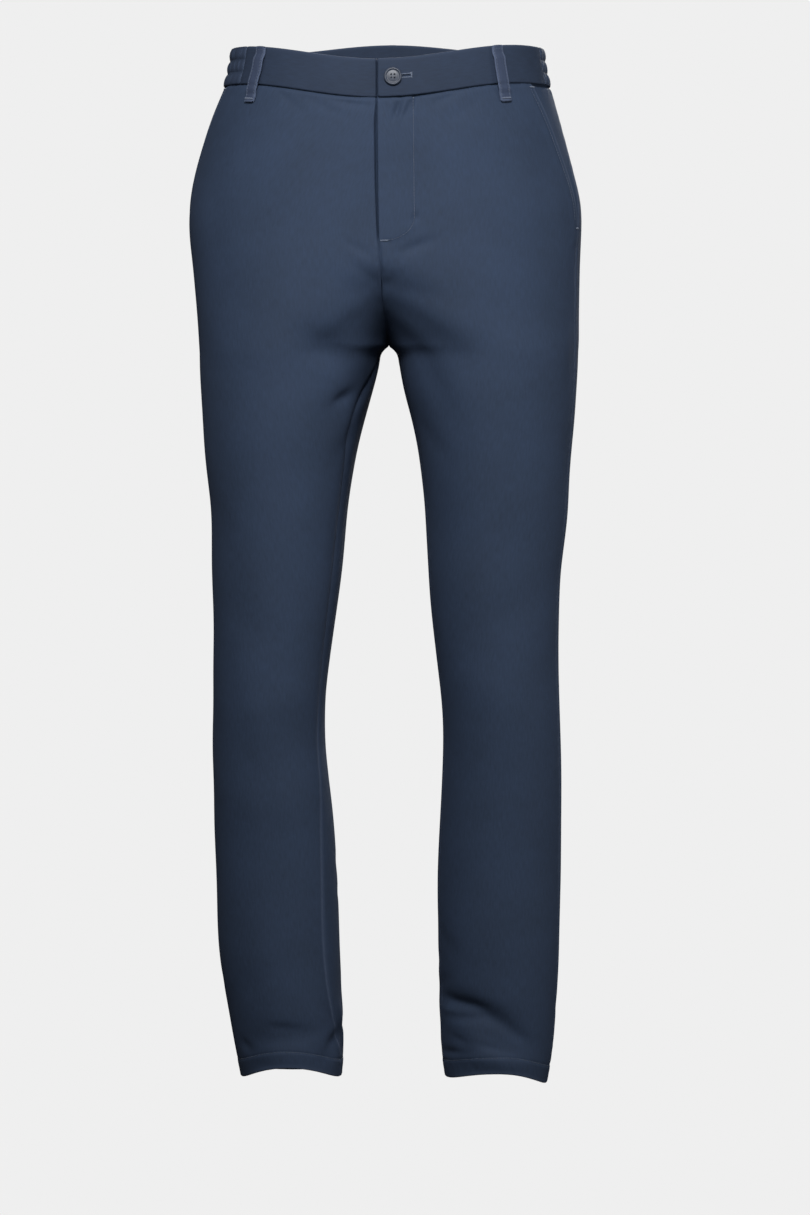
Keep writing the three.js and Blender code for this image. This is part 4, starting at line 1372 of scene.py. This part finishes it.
    def facing(self, side: Side) -> bpy.types.Object:
        """Build the cloth between a pocket's edge and the side seam."""
        rim = self.cloth / 2
        depths = span(
            (self.form.band - self.tucked, self.form.band - 0.3, 1.2), (self.form.band - 0.3, 46, 0.8),
            (46, self.pocket.facing_ends, 2.6),
        )
        course = self.form.panel_course(side, depths, True)
        opening = self.pocket.edge(np.maximum(depths, self.form.band), self.form.band)[:, None]
        share = np.concatenate([[0, 0.02, 0.05, 0.1], np.linspace(0.16, 1, 20)])
        distance = rim + (opening + self.pocket.facing_under - 2 * rim) * share
        depth = depths[:, None]
        sinks = -(self.pocket.lift + 1) * smooth(0, opening * 0.8, distance)
        offset = sinks + seam(distance, depth, 1.9 + side.value) + self.top_relief(depth, distance, 2.0)
        # Paler worn colour, partly painted highlight, along the side seam.
        edge = 0.5 * bell(distance, 1.6)
        return self.shell(f"pocket_facing_cloth_{side.word}", course, depths, distance, offset, edge)

    def build(self) -> None:
        """Build the panels, dress them and hide the parts that they stand for."""
        for side in Side:
            front = self.wardrobe.dress(self.front(side), self.wardrobe.cloth)
            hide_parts(f"front_{side.word}")
            back = self.wardrobe.dress(self.back(side), self.wardrobe.cloth)
            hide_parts(f"back_{side.word}")
            facing = self.wardrobe.dress(self.facing(side), self.wardrobe.cloth)
            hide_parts(f"pocket_facing_{side.word}")


@dataclass(frozen=True)
class BandPlaces:
    """Turns round the waist where its stretches meet and its loops stand."""

    elastic_front: float
    elastic_back: float
    front_loop: float
    back_loop: float


BAND_PLACES = {LEFT: BandPlaces(16, -40, 51, -54), RIGHT: BandPlaces(30, -38, 42, -54)}


@dataclass
class Waistband:
    """The waistband: plain at the front and back, gathered on elastic at the sides."""

    form: WornForm
    wardrobe: Wardrobe
    proud: float = 0.8  # how far its face stands out of the form
    rounding: float = 0.4  # and how much less at its edges
    wall: float = 2.4
    underlap: float = 42.0  # how far the right front runs on under the left one
    lift: float = 1.4  # how far the one is raised and the other sunk there
    sunk: float = 3.4  # how much lower the right front lies under the left one's edge
    blend: float = 30.0  # and the stretch over which that fades
    channels: int = 3  # between the rows of stitching on the elastic
    bulge: float = 1.2  # how far each swells
    ruffle: float = 1.15  # and how high its gathers are
    gather: float = 8.5  # usual distance between gathers
    buttonhole: tuple[float, float] = (11.0, 33.0)  # its ends' distances from the front edge
    buttonhole_depth: float = 18.5

    def rows(self) -> Array:
        """Depths of the band's rows."""
        rim = self.wall / 2
        return span(
            (rim, 6, 0.8), (6, 15.5, 1.3), (15.5, 21.5, 0.5), (21.5, 32, 1.3),
            (32, self.form.band - rim, 0.8),
        )

    def top_edge(self, depths: Array) -> Array:
        """How far each row of the plain band lies on its pressed top edge, whose paler worn colour is
        partly painted highlight.
        """
        return 0.3 * bell(depths[:, None], 1.6)

    def face(self, depth: Array, along: Array, shift: float) -> Array:
        """How far the plain band stands out: softly padded, with shallow unevenness."""
        share = np.sin(np.pi * np.clip(depth / self.form.band, 0, 1))
        sways = 0.35 * uneven(along, 58.0, shift) * share
        pucker = 0.18 * uneven(along, 12.0, shift + 1) * bell(self.form.band - depth, 4.0)
        return self.proud - self.rounding + (self.rounding + 0.3) * np.sqrt(share) + sways + pucker

    def shell(
        self, name: str, course: Course, depths: Array, distance: Array, offset: Array, edge: Array
    ) -> bpy.types.Object:
        """Make a stretch of band from its points' places and how far each stands out.

        Args:
            name: The piece's name.
            course: Its rows.
            depths: The depth of each row.
            distance: The points' distances along the rows.
            offset: How far out of the form each stands.
            edge: How far each lies on a pressed edge, from 0 to 1: the mask of the paler worn colour,
                partly painted highlight.

        Returns:
            The piece.
        """
        outer = course.at(distance, offset)
        inner = course.at(distance, offset - self.wall)
        place = np.stack(np.broadcast_arrays(depths[:, None], distance, edge), -1)
        return ClothMesh(name, outer, inner, place).build()

    def across(self, depths: Array, front: bool) -> tuple[Course, Array]:
        """Rows across the centre front or back, from the right elastic side to the left one.

        Args:
            depths: The depth of each row.
            front: True for the front.

        Returns:
            The rows, and the distance at which each crosses the centre.
        """
        def end(side: Side) -> float:
            """Where the elastic starts."""
            places = BAND_PLACES[side]
            return places.elastic_front if front else places.elastic_back

        near = self.form.course(RIGHT, depths, end(RIGHT), self.form.centre_turn(RIGHT, front))
        beyond = self.form.course(LEFT, depths, self.form.centre_turn(LEFT, front), end(LEFT))
        return near.then(beyond), near.length

    def left_course(self, depths: Array) -> Course:
        """Rows of the left front stretch, from the elastic to the front edge."""
        start = BAND_PLACES[LEFT].elastic_front
        return self.form.course(LEFT, depths, start, self.form.centre_turn(LEFT, True))

    def ends(self, distance: Array, end: Array, radius: float) -> Array:
        """The groove at each end of a stretch, where it is sewn to the next."""
        return -0.5 * (bell(distance, radius) + bell(end - distance, radius))

    def front_left(self) -> bpy.types.Object:
        """Build the left front stretch, which laps over the right one."""
        depths = self.rows()
        course = self.left_course(depths)
        rim = self.wall / 2
        share = np.concatenate([[0, 0.006, 0.014], np.linspace(0.025, 0.985, 96), [0.993, 1]])
        distance = rim + (course.length[:, None] - 2 * rim) * share
        from_end = course.length[:, None] - distance
        over = self.lift * (1 - smooth(self.underlap, self.underlap + self.blend, from_end))
        near, far = self.buttonhole
        slot = smooth(near - 1, near + 1, from_end) * (1 - smooth(far - 1.5, far, from_end))
        offset = self.face(depths[:, None], distance, 0.4) + over - 0.5 * bell(distance, 1.6)
        offset = offset - 1.5 * slot * bell(depths[:, None] - self.buttonhole_depth, 0.55)
        return self.shell("band_front_left", course, depths, distance, offset, self.top_edge(depths))

    def front_right(self) -> bpy.types.Object:
        """Build the right front stretch, with the end that runs on under the left one."""
        depths = self.rows()
        course, centre = self.across(depths, True)
        rim = self.wall / 2
        end = centre[:, None] + self.underlap
        middle = centre[:, None] - 6 + np.arange(0, 12, 0.6)
        share = np.concatenate([[0, 0.008, 0.018], np.linspace(0.03, 1, 80)])
        before = rim + (middle[:, :1] - 0.6 - rim) * share
        share = np.concatenate([np.linspace(0, 0.97, 26), [0.985, 1]])
        after = middle[:, -1:] + 0.6 + (end - rim - middle[:, -1:] - 0.6) * share
        distance = np.concatenate([before, middle, after], 1)
        under = self.lift * smooth(centre[:, None] - self.blend, centre[:, None], distance)
        under = under + self.sunk * smooth(centre[:, None] - 1.9, centre[:, None] - 0.1, distance)
        offset = self.face(depths[:, None], distance, 2.2) - under - 0.5 * bell(distance, 1.6)
        return self.shell("band_front_right", course, depths, distance, offset, self.top_edge(depths))

    def back(self) -> bpy.types.Object:
        """Build the plain back stretch."""
        depths = self.rows()
        course, centre = self.across(depths, False)
        rim = self.wall / 2
        end = course.length[:, None]
        share = np.linspace(0, 1, 180)
        distance = rim + (end - 2 * rim) * share
        offset = self.face(depths[:, None], distance, 4.0) + self.ends(distance, end, 1.6)
        offset = offset - 0.4 * bell(distance - centre[:, None], 1.4)
        return self.shell("band_back", course, depths, distance, offset, self.top_edge(depths))

    def elastic(self, side: Side) -> bpy.types.Object:
        """Build a gathered side: rows of stitching part it into channels that swell and ruffle."""
        rim = self.wall / 2
        depths = span((rim, self.form.band - rim, 0.75))
        places = BAND_PLACES[side]
        course = self.form.course(side, depths, places.elastic_front, places.elastic_back)
        length = course.length[:, None]
        share = np.linspace(0, 1, int(length.mean() / 0.9))
        distance = rim + (length - 2 * rim) * share
        depth = depths[:, None]
        channel = depth * self.channels / self.form.band
        index = np.floor(channel)
        swell = np.abs(np.sin(np.pi * channel)) ** 0.75
        leaning = distance + (depth - self.form.band / 2) * (0.28 - 0.3 * (index % 2)) * side.value
        first = uneven(leaning, self.gather, 1.1 * index + side.value)
        second = uneven(leaning * 1.37, self.gather, 2.3 * index + 1.7)
        free = smooth(0, 9, distance) * smooth(0, 9, length - distance)
        ruffle = free * self.ruffle * (0.75 * first + 0.35 * second)
        offset = self.proud - self.rounding + swell * (self.bulge + ruffle)
        offset = offset + self.ends(distance, length, 1.4)
        # The swelling channels take the paler worn colour: partly rubbed fading, partly painted highlight
        # on their raised tops.
        return self.shell(f"band_elastic_{side.word}", course, depths, distance, offset, 0.3 * swell)

    def build(self) -> None:
        """Build the stretches, dress them and hide the parts that they stand for."""
        rows = (
            (self.front_left(), "waistband_front_left", (0.19, 0.038), "hung"),
            (self.front_right(), "waistband_front_right", (0.19, 0.038), "hung"),
            (self.back(), "waistband_back", (0.278, 0.038), "hung"),
            (self.elastic(LEFT), "waistband_elastic_left", (0.15, 0.038), "gathered"),
            (self.elastic(RIGHT), "waistband_elastic_right", (0.17, 0.038), "gathered"),
        )
        for piece, node, cut, held in rows:
            self.wardrobe.dress(piece, self.wardrobe.band_cloth)
            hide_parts(node)


@dataclass
class BeltLoops:
    """The straps that stand off the waistband, folded under and sewn down at both ends."""

    form: WornForm
    wardrobe: Wardrobe
    band: Waistband
    width: float = 13.0
    top: float = 0.5  # depth of its upper end
    length: float = 56.0
    wall: float = 1.6
    folded_wall: float = 2.6  # where its ends are folded under
    gap: float = 3.0  # room for a belt behind it
    sewn: float = 7.0  # how much of each end lies on the cloth
    eases: float = 6.0  # and the stretch in which it comes away
    stitched: float = 2.2  # from each side edge to its line of stitching
    reach: float = 12.0  # degrees of the row to either side
    cut: tuple[float, float] = (0.014, 0.057)

    def depths(self) -> Array:
        """Depths of a loop's rows."""
        return self.top + span((0.8, 8, 0.8), (8, 46, 1.4), (46, self.length - 0.8, 0.8))

    def offsets(self, depths: Array) -> tuple[Array, Array]:
        """How far a loop's inner face stands out at each depth, and its thickness."""
        down = depths - self.top
        from_end = np.minimum(down, self.length - down)
        sewn = 1 - smooth(self.sewn, self.sewn + self.eases, from_end)
        base = self.band.proud * (1 - smooth(self.form.band - 1, self.form.band + 1.5, depths))
        clear = self.form.seam_gap
        inner = base + clear + (self.gap - clear) * (1 - sewn)
        wall = self.wall + (self.folded_wall - self.wall) * sewn
        return inner, wall

    def course(self, side: Side, turn: float, depths: Array) -> tuple[Course, Array]:
        """Rows for a loop on one side to stand on, and their middles."""
        reach = np.sign(turn) * self.reach
        course = self.form.course(side, depths, turn - reach, turn + reach, steps=60)
        return course, course.length / 2

    def loop(
        self, name: str, course: Course, middle: Array, depths: Array, shift: float
    ) -> bpy.types.Object:
        """Build one loop.

        Args:
            name: The piece's name.
            course: The rows it stands on.
            middle: Distances at which its middle lies.
            depths: The depth of each row.
            shift: Makes its unevenness its own.

        Returns:
            The piece.
        """
        inner, wall = self.offsets(depths)
        half = self.width / 2 - wall[:, None] / 2
        across = np.concatenate([[-1, -0.86], np.linspace(-0.72, 0.72, 13), [0.86, 1]])[None] * half
        sway = 0.25 * uneven(depths, 31.0, shift)[:, None]
        crown = 0.25 * (1 - (across / half) ** 2)
        groove = -0.3 * bell(np.abs(across) - (self.width / 2 - self.stitched), 0.5)
        ends = -0.35 * bell(self.length - (depths - self.top) - 3.2, 0.9)[:, None]
        outer = inner[:, None] + wall[:, None] + crown + groove + ends + 0.15 * sway
        distance = middle[:, None] + across + sway
        # Paler worn colour, partly painted highlight, along the loop's side edges and its foot.
        edge = np.maximum(bell(half - np.abs(across), 0.8), 0.9 * bell(depths - depths[-1], 1.2)[:, None])
        place = np.stack(np.broadcast_arrays(distance + 7 * shift, depths[:, None], edge), -1)
        return ClothMesh(
            name, course.at(distance, outer), course.at(distance, inner[:, None]), place
        ).build()

    def stitch_rows(
        self, course: Course, middle: Array, depths: Array, shift: float, sewing: "Sewing"
    ) -> None:
        """Run the stitching down both edges of a loop and across its foot and head."""
        inner, wall = self.offsets(depths)
        sway = 0.25 * uneven(depths, 31.0, shift)
        kept = (depths > self.top + 2.5) & (depths < self.top + self.length - 3.5)
        for edge in (-1, 1):
            across = middle + sway + edge * (self.width / 2 - self.stitched)
            line, out = course.face(across[:, None], (inner + wall)[:, None])
            sewing.run(line[kept], out[kept])
        for down, sew in ((self.length - 3.2, sewing.tack), (3.0, sewing.run)):
            row = int(np.argmin(np.abs(depths - self.top - down)))
            across = middle[row] + np.linspace(-1, 1, 24) * (self.width / 2 - 1.4)
            sew(*course.row(row).face(across[None], (inner + wall)[row] + 0.1))

    def build(self, sewing: "Sewing") -> None:
        """Build the five loops with their stitching and dress them."""
        depths = self.depths()
        found = []
        for side in Side:
            places = BAND_PLACES[side]
            found.append((f"front_{side.word}", *self.course(side, places.front_loop, depths)))
            found.append((f"back_{side.word}", *self.course(side, places.back_loop, depths)))
        found.append(("centre_back", *self.band.across(depths, False)))
        for k, (where, course, middle) in enumerate(found):
            piece = self.loop(f"loop_{where}", course, middle, depths, 1.3 * k)
            self.wardrobe.dress(piece, self.wardrobe.loop_cloth)
            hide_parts(f"belt_loop_{where}")
            self.stitch_rows(course, middle, depths, 1.3 * k, sewing)


def walk(line: Array) -> Array:
    """How far along a line each of its points is."""
    return np.concatenate([[0], np.cumsum(np.linalg.norm(np.diff(line, axis=0), axis=1))])


def read(line: Array, walked: Array, at: float | Array) -> Array:
    """A line's value at distances along it."""
    return np.stack([np.interp(at, walked, line[:, axis]) for axis in range(3)], -1)


@dataclass
class Sewing:
    """Gathers every stitch of the garment, and makes each kind of thread into one piece."""

    wardrobe: Wardrobe
    radius: float = 0.26  # of the thread
    length: float = 2.5  # of a stitch
    gap: float = 0.5  # from one to the next
    sides: int = 6
    runs: list[tuple[Array, Array]] = field(default_factory=list)
    tacks: list[tuple[Array, Array]] = field(default_factory=list)

    def run(self, line: Array, outward: Array) -> None:
        """Sew a line of running stitches.

        Args:
            line: Points along it, on the cloth's face.
            outward: The way out of the cloth at each.
        """
        walked = walk(line)
        count = max(int(walked[-1] // (self.length + self.gap)), 1)
        for k in range(count):
            start = k * (self.length + self.gap)
            at = np.linspace(start, start + self.length, 5)
            out = read(outward, walked, at)
            rise = self.radius * (np.sin(np.pi * np.linspace(0, 1, 5)) - 0.45)
            self.runs.append((read(line, walked, at) + out * rise[:, None], out))

    def tack(self, line: Array, outward: Array, width: float = 1.7, pitch: float = 0.42) -> None:
        """Sew a bar of close zigzag stitches over a line.

        Args:
            line: Points along the bar.
            outward: The way out of the cloth at each.
            width: The bar's height.
            pitch: Distance between neighbouring threads.
        """
        walked = walk(line)
        places = np.arange(0, walked[-1], pitch)
        ahead = line[-1] - line[0]
        ahead = ahead / np.linalg.norm(ahead)
        for k, at in enumerate(places):
            middle, out = read(line, walked, at), read(outward, walked, at)
            over = np.cross(out, ahead)
            share = np.linspace(-1, 1, 5)[:, None]
            slant = pitch * 0.5 * (1 if k % 2 else -1)
            arch = self.radius * 1.6 * (1 - share**2) - self.radius * 0.2
            points = middle + over * share * width / 2 + ahead * share * slant + out * arch
            self.tacks.append((points, np.repeat(out[None], 5, 0)))

    def threads(
        self, name: str, stitches: list[tuple[Array, Array]], thickness: float
    ) -> bpy.types.Object:
        """Make a piece of all the stitches in one list.

        Args:
            name: The piece's name.
            stitches: Each stitch's middle line and the way out along it.
            thickness: The thread's radius.

        Returns:
            The piece.
        """
        centre = np.array([stitch[0] for stitch in stitches])
        out = np.array([stitch[1] for stitch in stitches])
        count, steps = centre.shape[:2]
        ahead = np.gradient(centre, axis=1)
        ahead /= np.linalg.norm(ahead, axis=-1, keepdims=True)
        beside = np.cross(ahead, out)
        beside /= np.linalg.norm(beside, axis=-1, keepdims=True)
        over = np.cross(beside, ahead)
        taper = thickness * (0.55 + 0.45 * np.sin(np.pi * np.linspace(0, 1, steps)))
        angle = np.arange(self.sides) * 2 * np.pi / self.sides
        ring = beside[:, :, None] * np.cos(angle)[:, None] + over[:, :, None] * np.sin(angle)[:, None]
        points = (centre[:, :, None] + ring * taper[None, :, None, None]).reshape(-1, 3)
        faces = []
        size = steps * self.sides
        k = np.arange(self.sides)
        after = (k + 1) % self.sides
        one = [
            [s * self.sides + a, s * self.sides + b, (s + 1) * self.sides + b, (s + 1) * self.sides + a]
            for s in range(steps - 1) for a, b in zip(k, after)
        ]
        caps = [list(k[::-1]), list(k + (steps - 1) * self.sides)]
        for number in range(count):
            base = number * size
            faces += [[int(v) + base for v in face] for face in one + caps]
        return bare_mesh(name, points, faces)

    def build(self) -> None:
        """Make the two pieces of thread."""
        made = self.threads("stitching", self.runs, self.radius)
        self.wardrobe.dress(made, self.wardrobe.thread)
        made = self.threads("bar_tacks", self.tacks, self.radius * 1.1)
        self.wardrobe.dress(made, self.wardrobe.tack_thread)


@dataclass
class SeamSewing:
    """The stitching that shows on the panels: the fly, the pockets' edges and the hems."""

    panels: LegPanels
    sewing: Sewing

    def line(self, side: Side, front: bool, depths: Array, distance: Array, offset: Array) -> None:
        """Run stitches along a line that goes from row to row.

        Args:
            side: Which side.
            front: True for the front panel.
            depths: Depths of the line's points.
            distance: Their distances from the side seam.
            offset: How far out of the form the cloth stands there.
        """
        course = self.panels.form.panel_course(side, depths, front)
        self.sewing.run(*course.face(distance[:, None], offset[:, None]))

    def build(self) -> None:
        """Sew the lines."""
        panels = self.panels
        form, fly, pocket = panels.form, panels.fly, panels.pocket
        depths, across = fly.stitching(form.band + 2)
        course = form.panel_course(LEFT, depths, True)
        lift = fly.lift_at(depths, across) + panels.top_relief(depths, course.length - across - 1, -0.3)
        self.line(LEFT, True, depths, course.length - across, lift - 0.2)
        row = form.panel_course(LEFT, np.full(8, fly.bottom - 0.4), True)
        places = (row.length - np.linspace(1, 8.5, 8))[:, None]
        self.sewing.tack(*row.face(places, fly.lift * 0.6 + 0.1))
        for side in Side:
            depths = np.linspace(form.band + 3, pocket.bottom - 16, 90)
            distance = pocket.edge(depths, form.band) + pocket.stitched + 0.55
            self.line(side, True, depths, distance, pocket.lift - 0.2 + 0 * depths)
            for depth in (form.band + 4.0, pocket.bottom - 9):
                row = form.panel_course(side, np.full(1, depth), True)
                start = pocket.edge(np.array(depth), form.band) + 0.4
                places = np.linspace(start, start + 6.5, 10)[None]
                self.sewing.tack(*row.face(places, pocket.lift + 0.15))
            depth = form.outseam - panels.hem_stitched
            for front in (True, False):
                row = form.panel_course(side, np.full(1, depth), front)
                places = np.linspace(2, float(row.length[0]) - 2, 200)[None]
                self.sewing.run(*row.face(places, -0.3))


@dataclass
class WaistButton:
    """The four-hole button on the left front of the waistband, and its buttonhole."""

    form: WornForm
    wardrobe: Wardrobe
    band: Waistband
    from_edge: float = 15.0
    depth: float = 18.5  # of its middle, below the waist
    radius: float = 8.9
    height: float = 3.2
    segments: int = 72
    hole: float = 0.95  # each hole's radius
    hole_segments: int = 20
    hole_widens: float = 1.2  # how many times as wide its cutter is 1 mm above the rim
    hole_widens_from: float = 1.1  # and how far below the rim it starts to widen
    spacing: float = 2.3  # from the button's middle to each hole's

    def profile(self) -> Array:
        """The button's section: radius and height, from the middle of its back to that of its face."""
        r, h = self.radius, self.height
        turns = np.linspace(-0.5, 0.5, 9) * np.pi
        edge = [(r - 1.1 + 1.1 * np.cos(a), h / 2 + (h / 2 - 0.15) * np.sin(a)) for a in turns]
        face = [
            (r - 1.7, h - 0.12), (r - 2, h - 0.35), (r - 2.3, h - 0.8), (r - 2.7, h - 1.0),
            (r - 3.3, h - 0.93), (r - 4.4, h - 0.78), (r - 6, h - 0.65), (1.4, h - 0.58), (0, h - 0.57),
        ]
        back = [(0, 0.15), (r - 3, 0.15), (r - 1.8, 0.15)]
        return np.array(back + edge + face)

    def frame_at(self) -> tuple[Vector, Vector, Vector, Vector]:
        """Where the button sits: its place in millimetres, and its right, up and outward ways."""
        depths = np.array([self.depth - 1, self.depth, self.depth + 1])
        course = self.band.left_course(depths)
        places = (course.length - self.from_edge)[:, None]
        offset = self.band.proud + self.band.lift + self.form.seam_gap
        on, ways = course.face(places, offset)
        out = Vector(ways[1]).normalized()
        up = Vector(on[0] - on[2]).normalized()
        right = up.cross(out).normalized()
        return Vector(on[1]), right, out.cross(right), out

    def disc(self) -> bpy.types.Object:
        """Build the button with its holes drilled."""
        place, right, up, out = self.frame_at()
        profile = self.profile()
        segments = self.segments
        angle = np.arange(segments) * 2 * np.pi / segments
        basis = np.array([right, up, out])
        points, rings = [], []
        for r, h in profile:
            if r == 0:
                rings.append([len(points)])
                points.append(np.array([0, 0, h]))
                continue
            rings.append(list(range(len(points), len(points) + segments)))
            points += [np.array([r * np.cos(a), r * np.sin(a), h]) for a in angle]
        faces = []
        for low, high in zip(rings, rings[1:]):
            for k in range(segments):
                n = (k + 1) % segments
                if len(low) == 1:
                    faces.append([low[0], high[n], high[k]])
                elif len(high) == 1:
                    faces.append([low[k], low[n], high[0]])
                else:
                    faces.append([low[k], low[n], high[n], high[k]])
        world = np.array(points) @ basis + np.array(place)
        button = bare_mesh("waist_button", world, faces)
        drills = [self.drill(k, np.array(place), basis) for k in range(4)]
        for drill in drills:
            cut = button.modifiers.new("hole", "BOOLEAN")
            cut.object = drill
            cut.operation = "DIFFERENCE"
            cut.solver = "EXACT"
        bpy.context.view_layer.update()
        graph = bpy.context.evaluated_depsgraph_get()
        drilled = bpy.data.meshes.new_from_object(button.evaluated_get(graph))
        button.modifiers.clear()
        button.data = drilled
        for drill in drills:
            bpy.data.objects.remove(drill)
        button.data.shade_smooth()
        button.data.set_sharp_from_angle(angle=np.radians(50))
        return button

    def drill(self, number: int, place: Array, basis: Array) -> bpy.types.Object:
        """Make the cutter for one of the holes, widening towards the button's face."""
        middle = np.radians(45 + 90 * number)
        centre = np.array([np.cos(middle), np.sin(middle)]) * self.spacing
        sides = self.hole_segments
        angle = np.arange(sides) * 2 * np.pi / sides
        points, faces = [], []
        levels = (
            (1, -1), (1, self.height - self.hole_widens_from), (self.hole_widens, self.height + 1),
        )
        for wide, level in levels:
            for a in angle:
                spot = centre + self.hole * wide * np.array([np.cos(a), np.sin(a)])
                points.append([spot[0], spot[1], level])
        for ring in range(2):
            low, high = ring * sides, (ring + 1) * sides
            for k in range(sides):
                n = (k + 1) % sides
                faces.append([low + k, low + n, high + n, high + k])
        faces += [list(range(sides - 1, -1, -1)), list(range(2 * sides, 3 * sides))]
        return bare_mesh(f"drill_{number}", np.array(points) @ basis + place, faces)

    def build(self, sewing: Sewing) -> None:
        """Build and dress the button and the buttonhole."""
        button = self.wardrobe.dress(self.disc(), self.wardrobe.button, "button")
        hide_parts("button")
        near, far = self.band.buttonhole
        proud = self.band.proud + self.band.lift + 0.25
        for lane in (-1.75, 1.75):
            course = self.band.left_course(np.full(1, self.depth + lane))
            places = course.length[:, None] - np.linspace(near, far, 40)[None]
            sewing.tack(*course.face(places, proud), width=1.2, pitch=0.4)
        course = self.band.left_course(self.depth + np.linspace(-2.7, 2.7, 12))
        places = (course.length - far - 0.4)[:, None]
        sewing.tack(*course.face(places, proud + 0.1), width=1.8, pitch=0.4)


@dataclass
class Studio:
    """A plain pale floor and backdrop, soft light, and the camera at the photo's angle."""

    floor: float = -1.165  # its height
    lens: float = 108.06
    sensor: float = 36.0
    camera_place: tuple[float, float, float] = (0.019, -3.72, -0.3055)
    pitch: float = -4.0  # of the camera, in degrees up from level
    flat: float = 7.0  # radius of the floor's flat middle
    sweep: float = 3.0  # radius of the curve up to the wall
    wall_height: float = 9.0
    segments: int = 96
    pale: float = 0.863  # the backdrop's brightness as the camera sees it
    bounce: float = 0.05  # and how brightly it lights the garment
    spread: float = 1.7  # how wide each lamp's beam opens, in radians

    def backdrop(self) -> None:
        """Build a round floor that curves up all round into a wall, so that no edge of it shows."""
        profile = [(self.flat, 0.0)]
        steps = np.linspace(0, np.pi / 2, 20)[1:]
        profile += [(self.flat + self.sweep * np.sin(a), self.sweep * (1 - np.cos(a))) for a in steps]
        profile.append((self.flat + self.sweep, self.wall_height))
        around = np.arange(self.segments) * 2 * np.pi / self.segments
        rows = [(r * np.cos(a), r * np.sin(a), self.floor + z) for r, z in profile for a in around]
        faces = [list(range(self.segments))]
        for ring in range(len(profile) - 1):
            for k in range(self.segments):
                n = (k + 1) % self.segments
                low, high = ring * self.segments, (ring + 1) * self.segments
                faces.append([low + k, high + k, high + n, low + n])
        bowl = bare_mesh("studio_floor", np.array(rows) / MM, faces)
        paper = bpy.data.materials.new("studio_paper")
        paper.use_nodes = True
        paper.node_tree.nodes.clear()
        paper.cycles.emission_sampling = "NONE"
        graph = Graph(paper.node_tree)
        seen = graph.add("LightPath").outputs["Is Camera Ray"]
        plain = graph.add("Emission", {"Color": (1, 1, 1, 1), "Strength": self.pale})
        dim = graph.add("Emission", {"Color": (1, 1, 1, 1), "Strength": self.bounce})
        mixed = graph.add("MixShader", {0: seen, 1: dim.outputs[0], 2: plain.outputs[0]})
        graph.add("OutputMaterial", {"Surface": mixed.outputs[0]})
        bowl.data.materials.append(paper)

    def lamp(self, name: str, place: Row, aim: Row, size: tuple[float, float], power_w: float) -> None:
        """Add a soft rectangular light.

        Args:
            name: The lamp's name.
            place: Where it stands.
            aim: The point that it faces.
            size: Its width and height.
            power_w: Its power in watts.
        """
        data = bpy.data.lights.new(name, "AREA")
        data.shape = "RECTANGLE"
        data.size, data.size_y = size
        data.energy = power_w
        data.spread = self.spread
        lamp = bpy.data.objects.new(name, data)
        lamp.location = place
        lamp.rotation_euler = (Vector(aim) - Vector(place)).to_track_quat("-Z", "Y").to_euler()
        lamp.visible_camera = False
        bpy.context.scene.collection.objects.link(lamp)

    def build(self) -> None:
        """Set up the backdrop, the lights, the world and the camera."""
        self.backdrop()
        self.lamp("key", (-0.05, -2.0, 1.05), (0.0, 0.0, -0.1), (0.9, 0.8), 18.8)
        self.lamp("side", (2.4, -0.9, -0.3), (0.0, 0.0, -0.45), (1.0, 1.6), 5.5)
        self.lamp("fill", (-1.8, -1.6, 0.3), (0.0, 0.0, -0.1), (1.0, 1.0), 2.0)
        self.lamp("rear", (0.5, 2.2, 1.0), (0.0, 0.0, -0.25), (1.4, 1.4), 24)
        world = bpy.data.worlds.new("studio")
        world.use_nodes = True
        world.node_tree.nodes["Background"].inputs["Color"].default_value = (1, 1, 1, 1)
        world.node_tree.nodes["Background"].inputs["Strength"].default_value = self.bounce
        scene = bpy.context.scene
        scene.world = world
        scene.view_settings.view_transform = "Standard"
        data = bpy.data.cameras.new("camera")
        data.sensor_fit = "VERTICAL"
        data.sensor_height = self.sensor
        data.sensor_width = self.sensor
        data.lens = self.lens
        camera = bpy.data.objects.new("camera", data)
        camera.location = self.camera_place
        camera.rotation_euler = (np.radians(90 + self.pitch), 0, 0)
        scene.collection.objects.link(camera)
        scene.camera = camera


def main() -> None:
    """Build the studio and the garment."""
    logging.basicConfig(level=logging.INFO, format="%(name)s: %(message)s")
    Studio().build()
    form = WornForm()
    wardrobe = Wardrobe()
    sewing = Sewing(wardrobe)
    panels = LegPanels(form, wardrobe)
    band = Waistband(form, wardrobe)
    band.build()
    panels.build()
    BeltLoops(form, wardrobe, band).build(sewing)
    SeamSewing(panels, sewing).build()
    WaistButton(form, wardrobe, band).build(sewing)
    sewing.build()


if __name__ == "__main__":
    main()
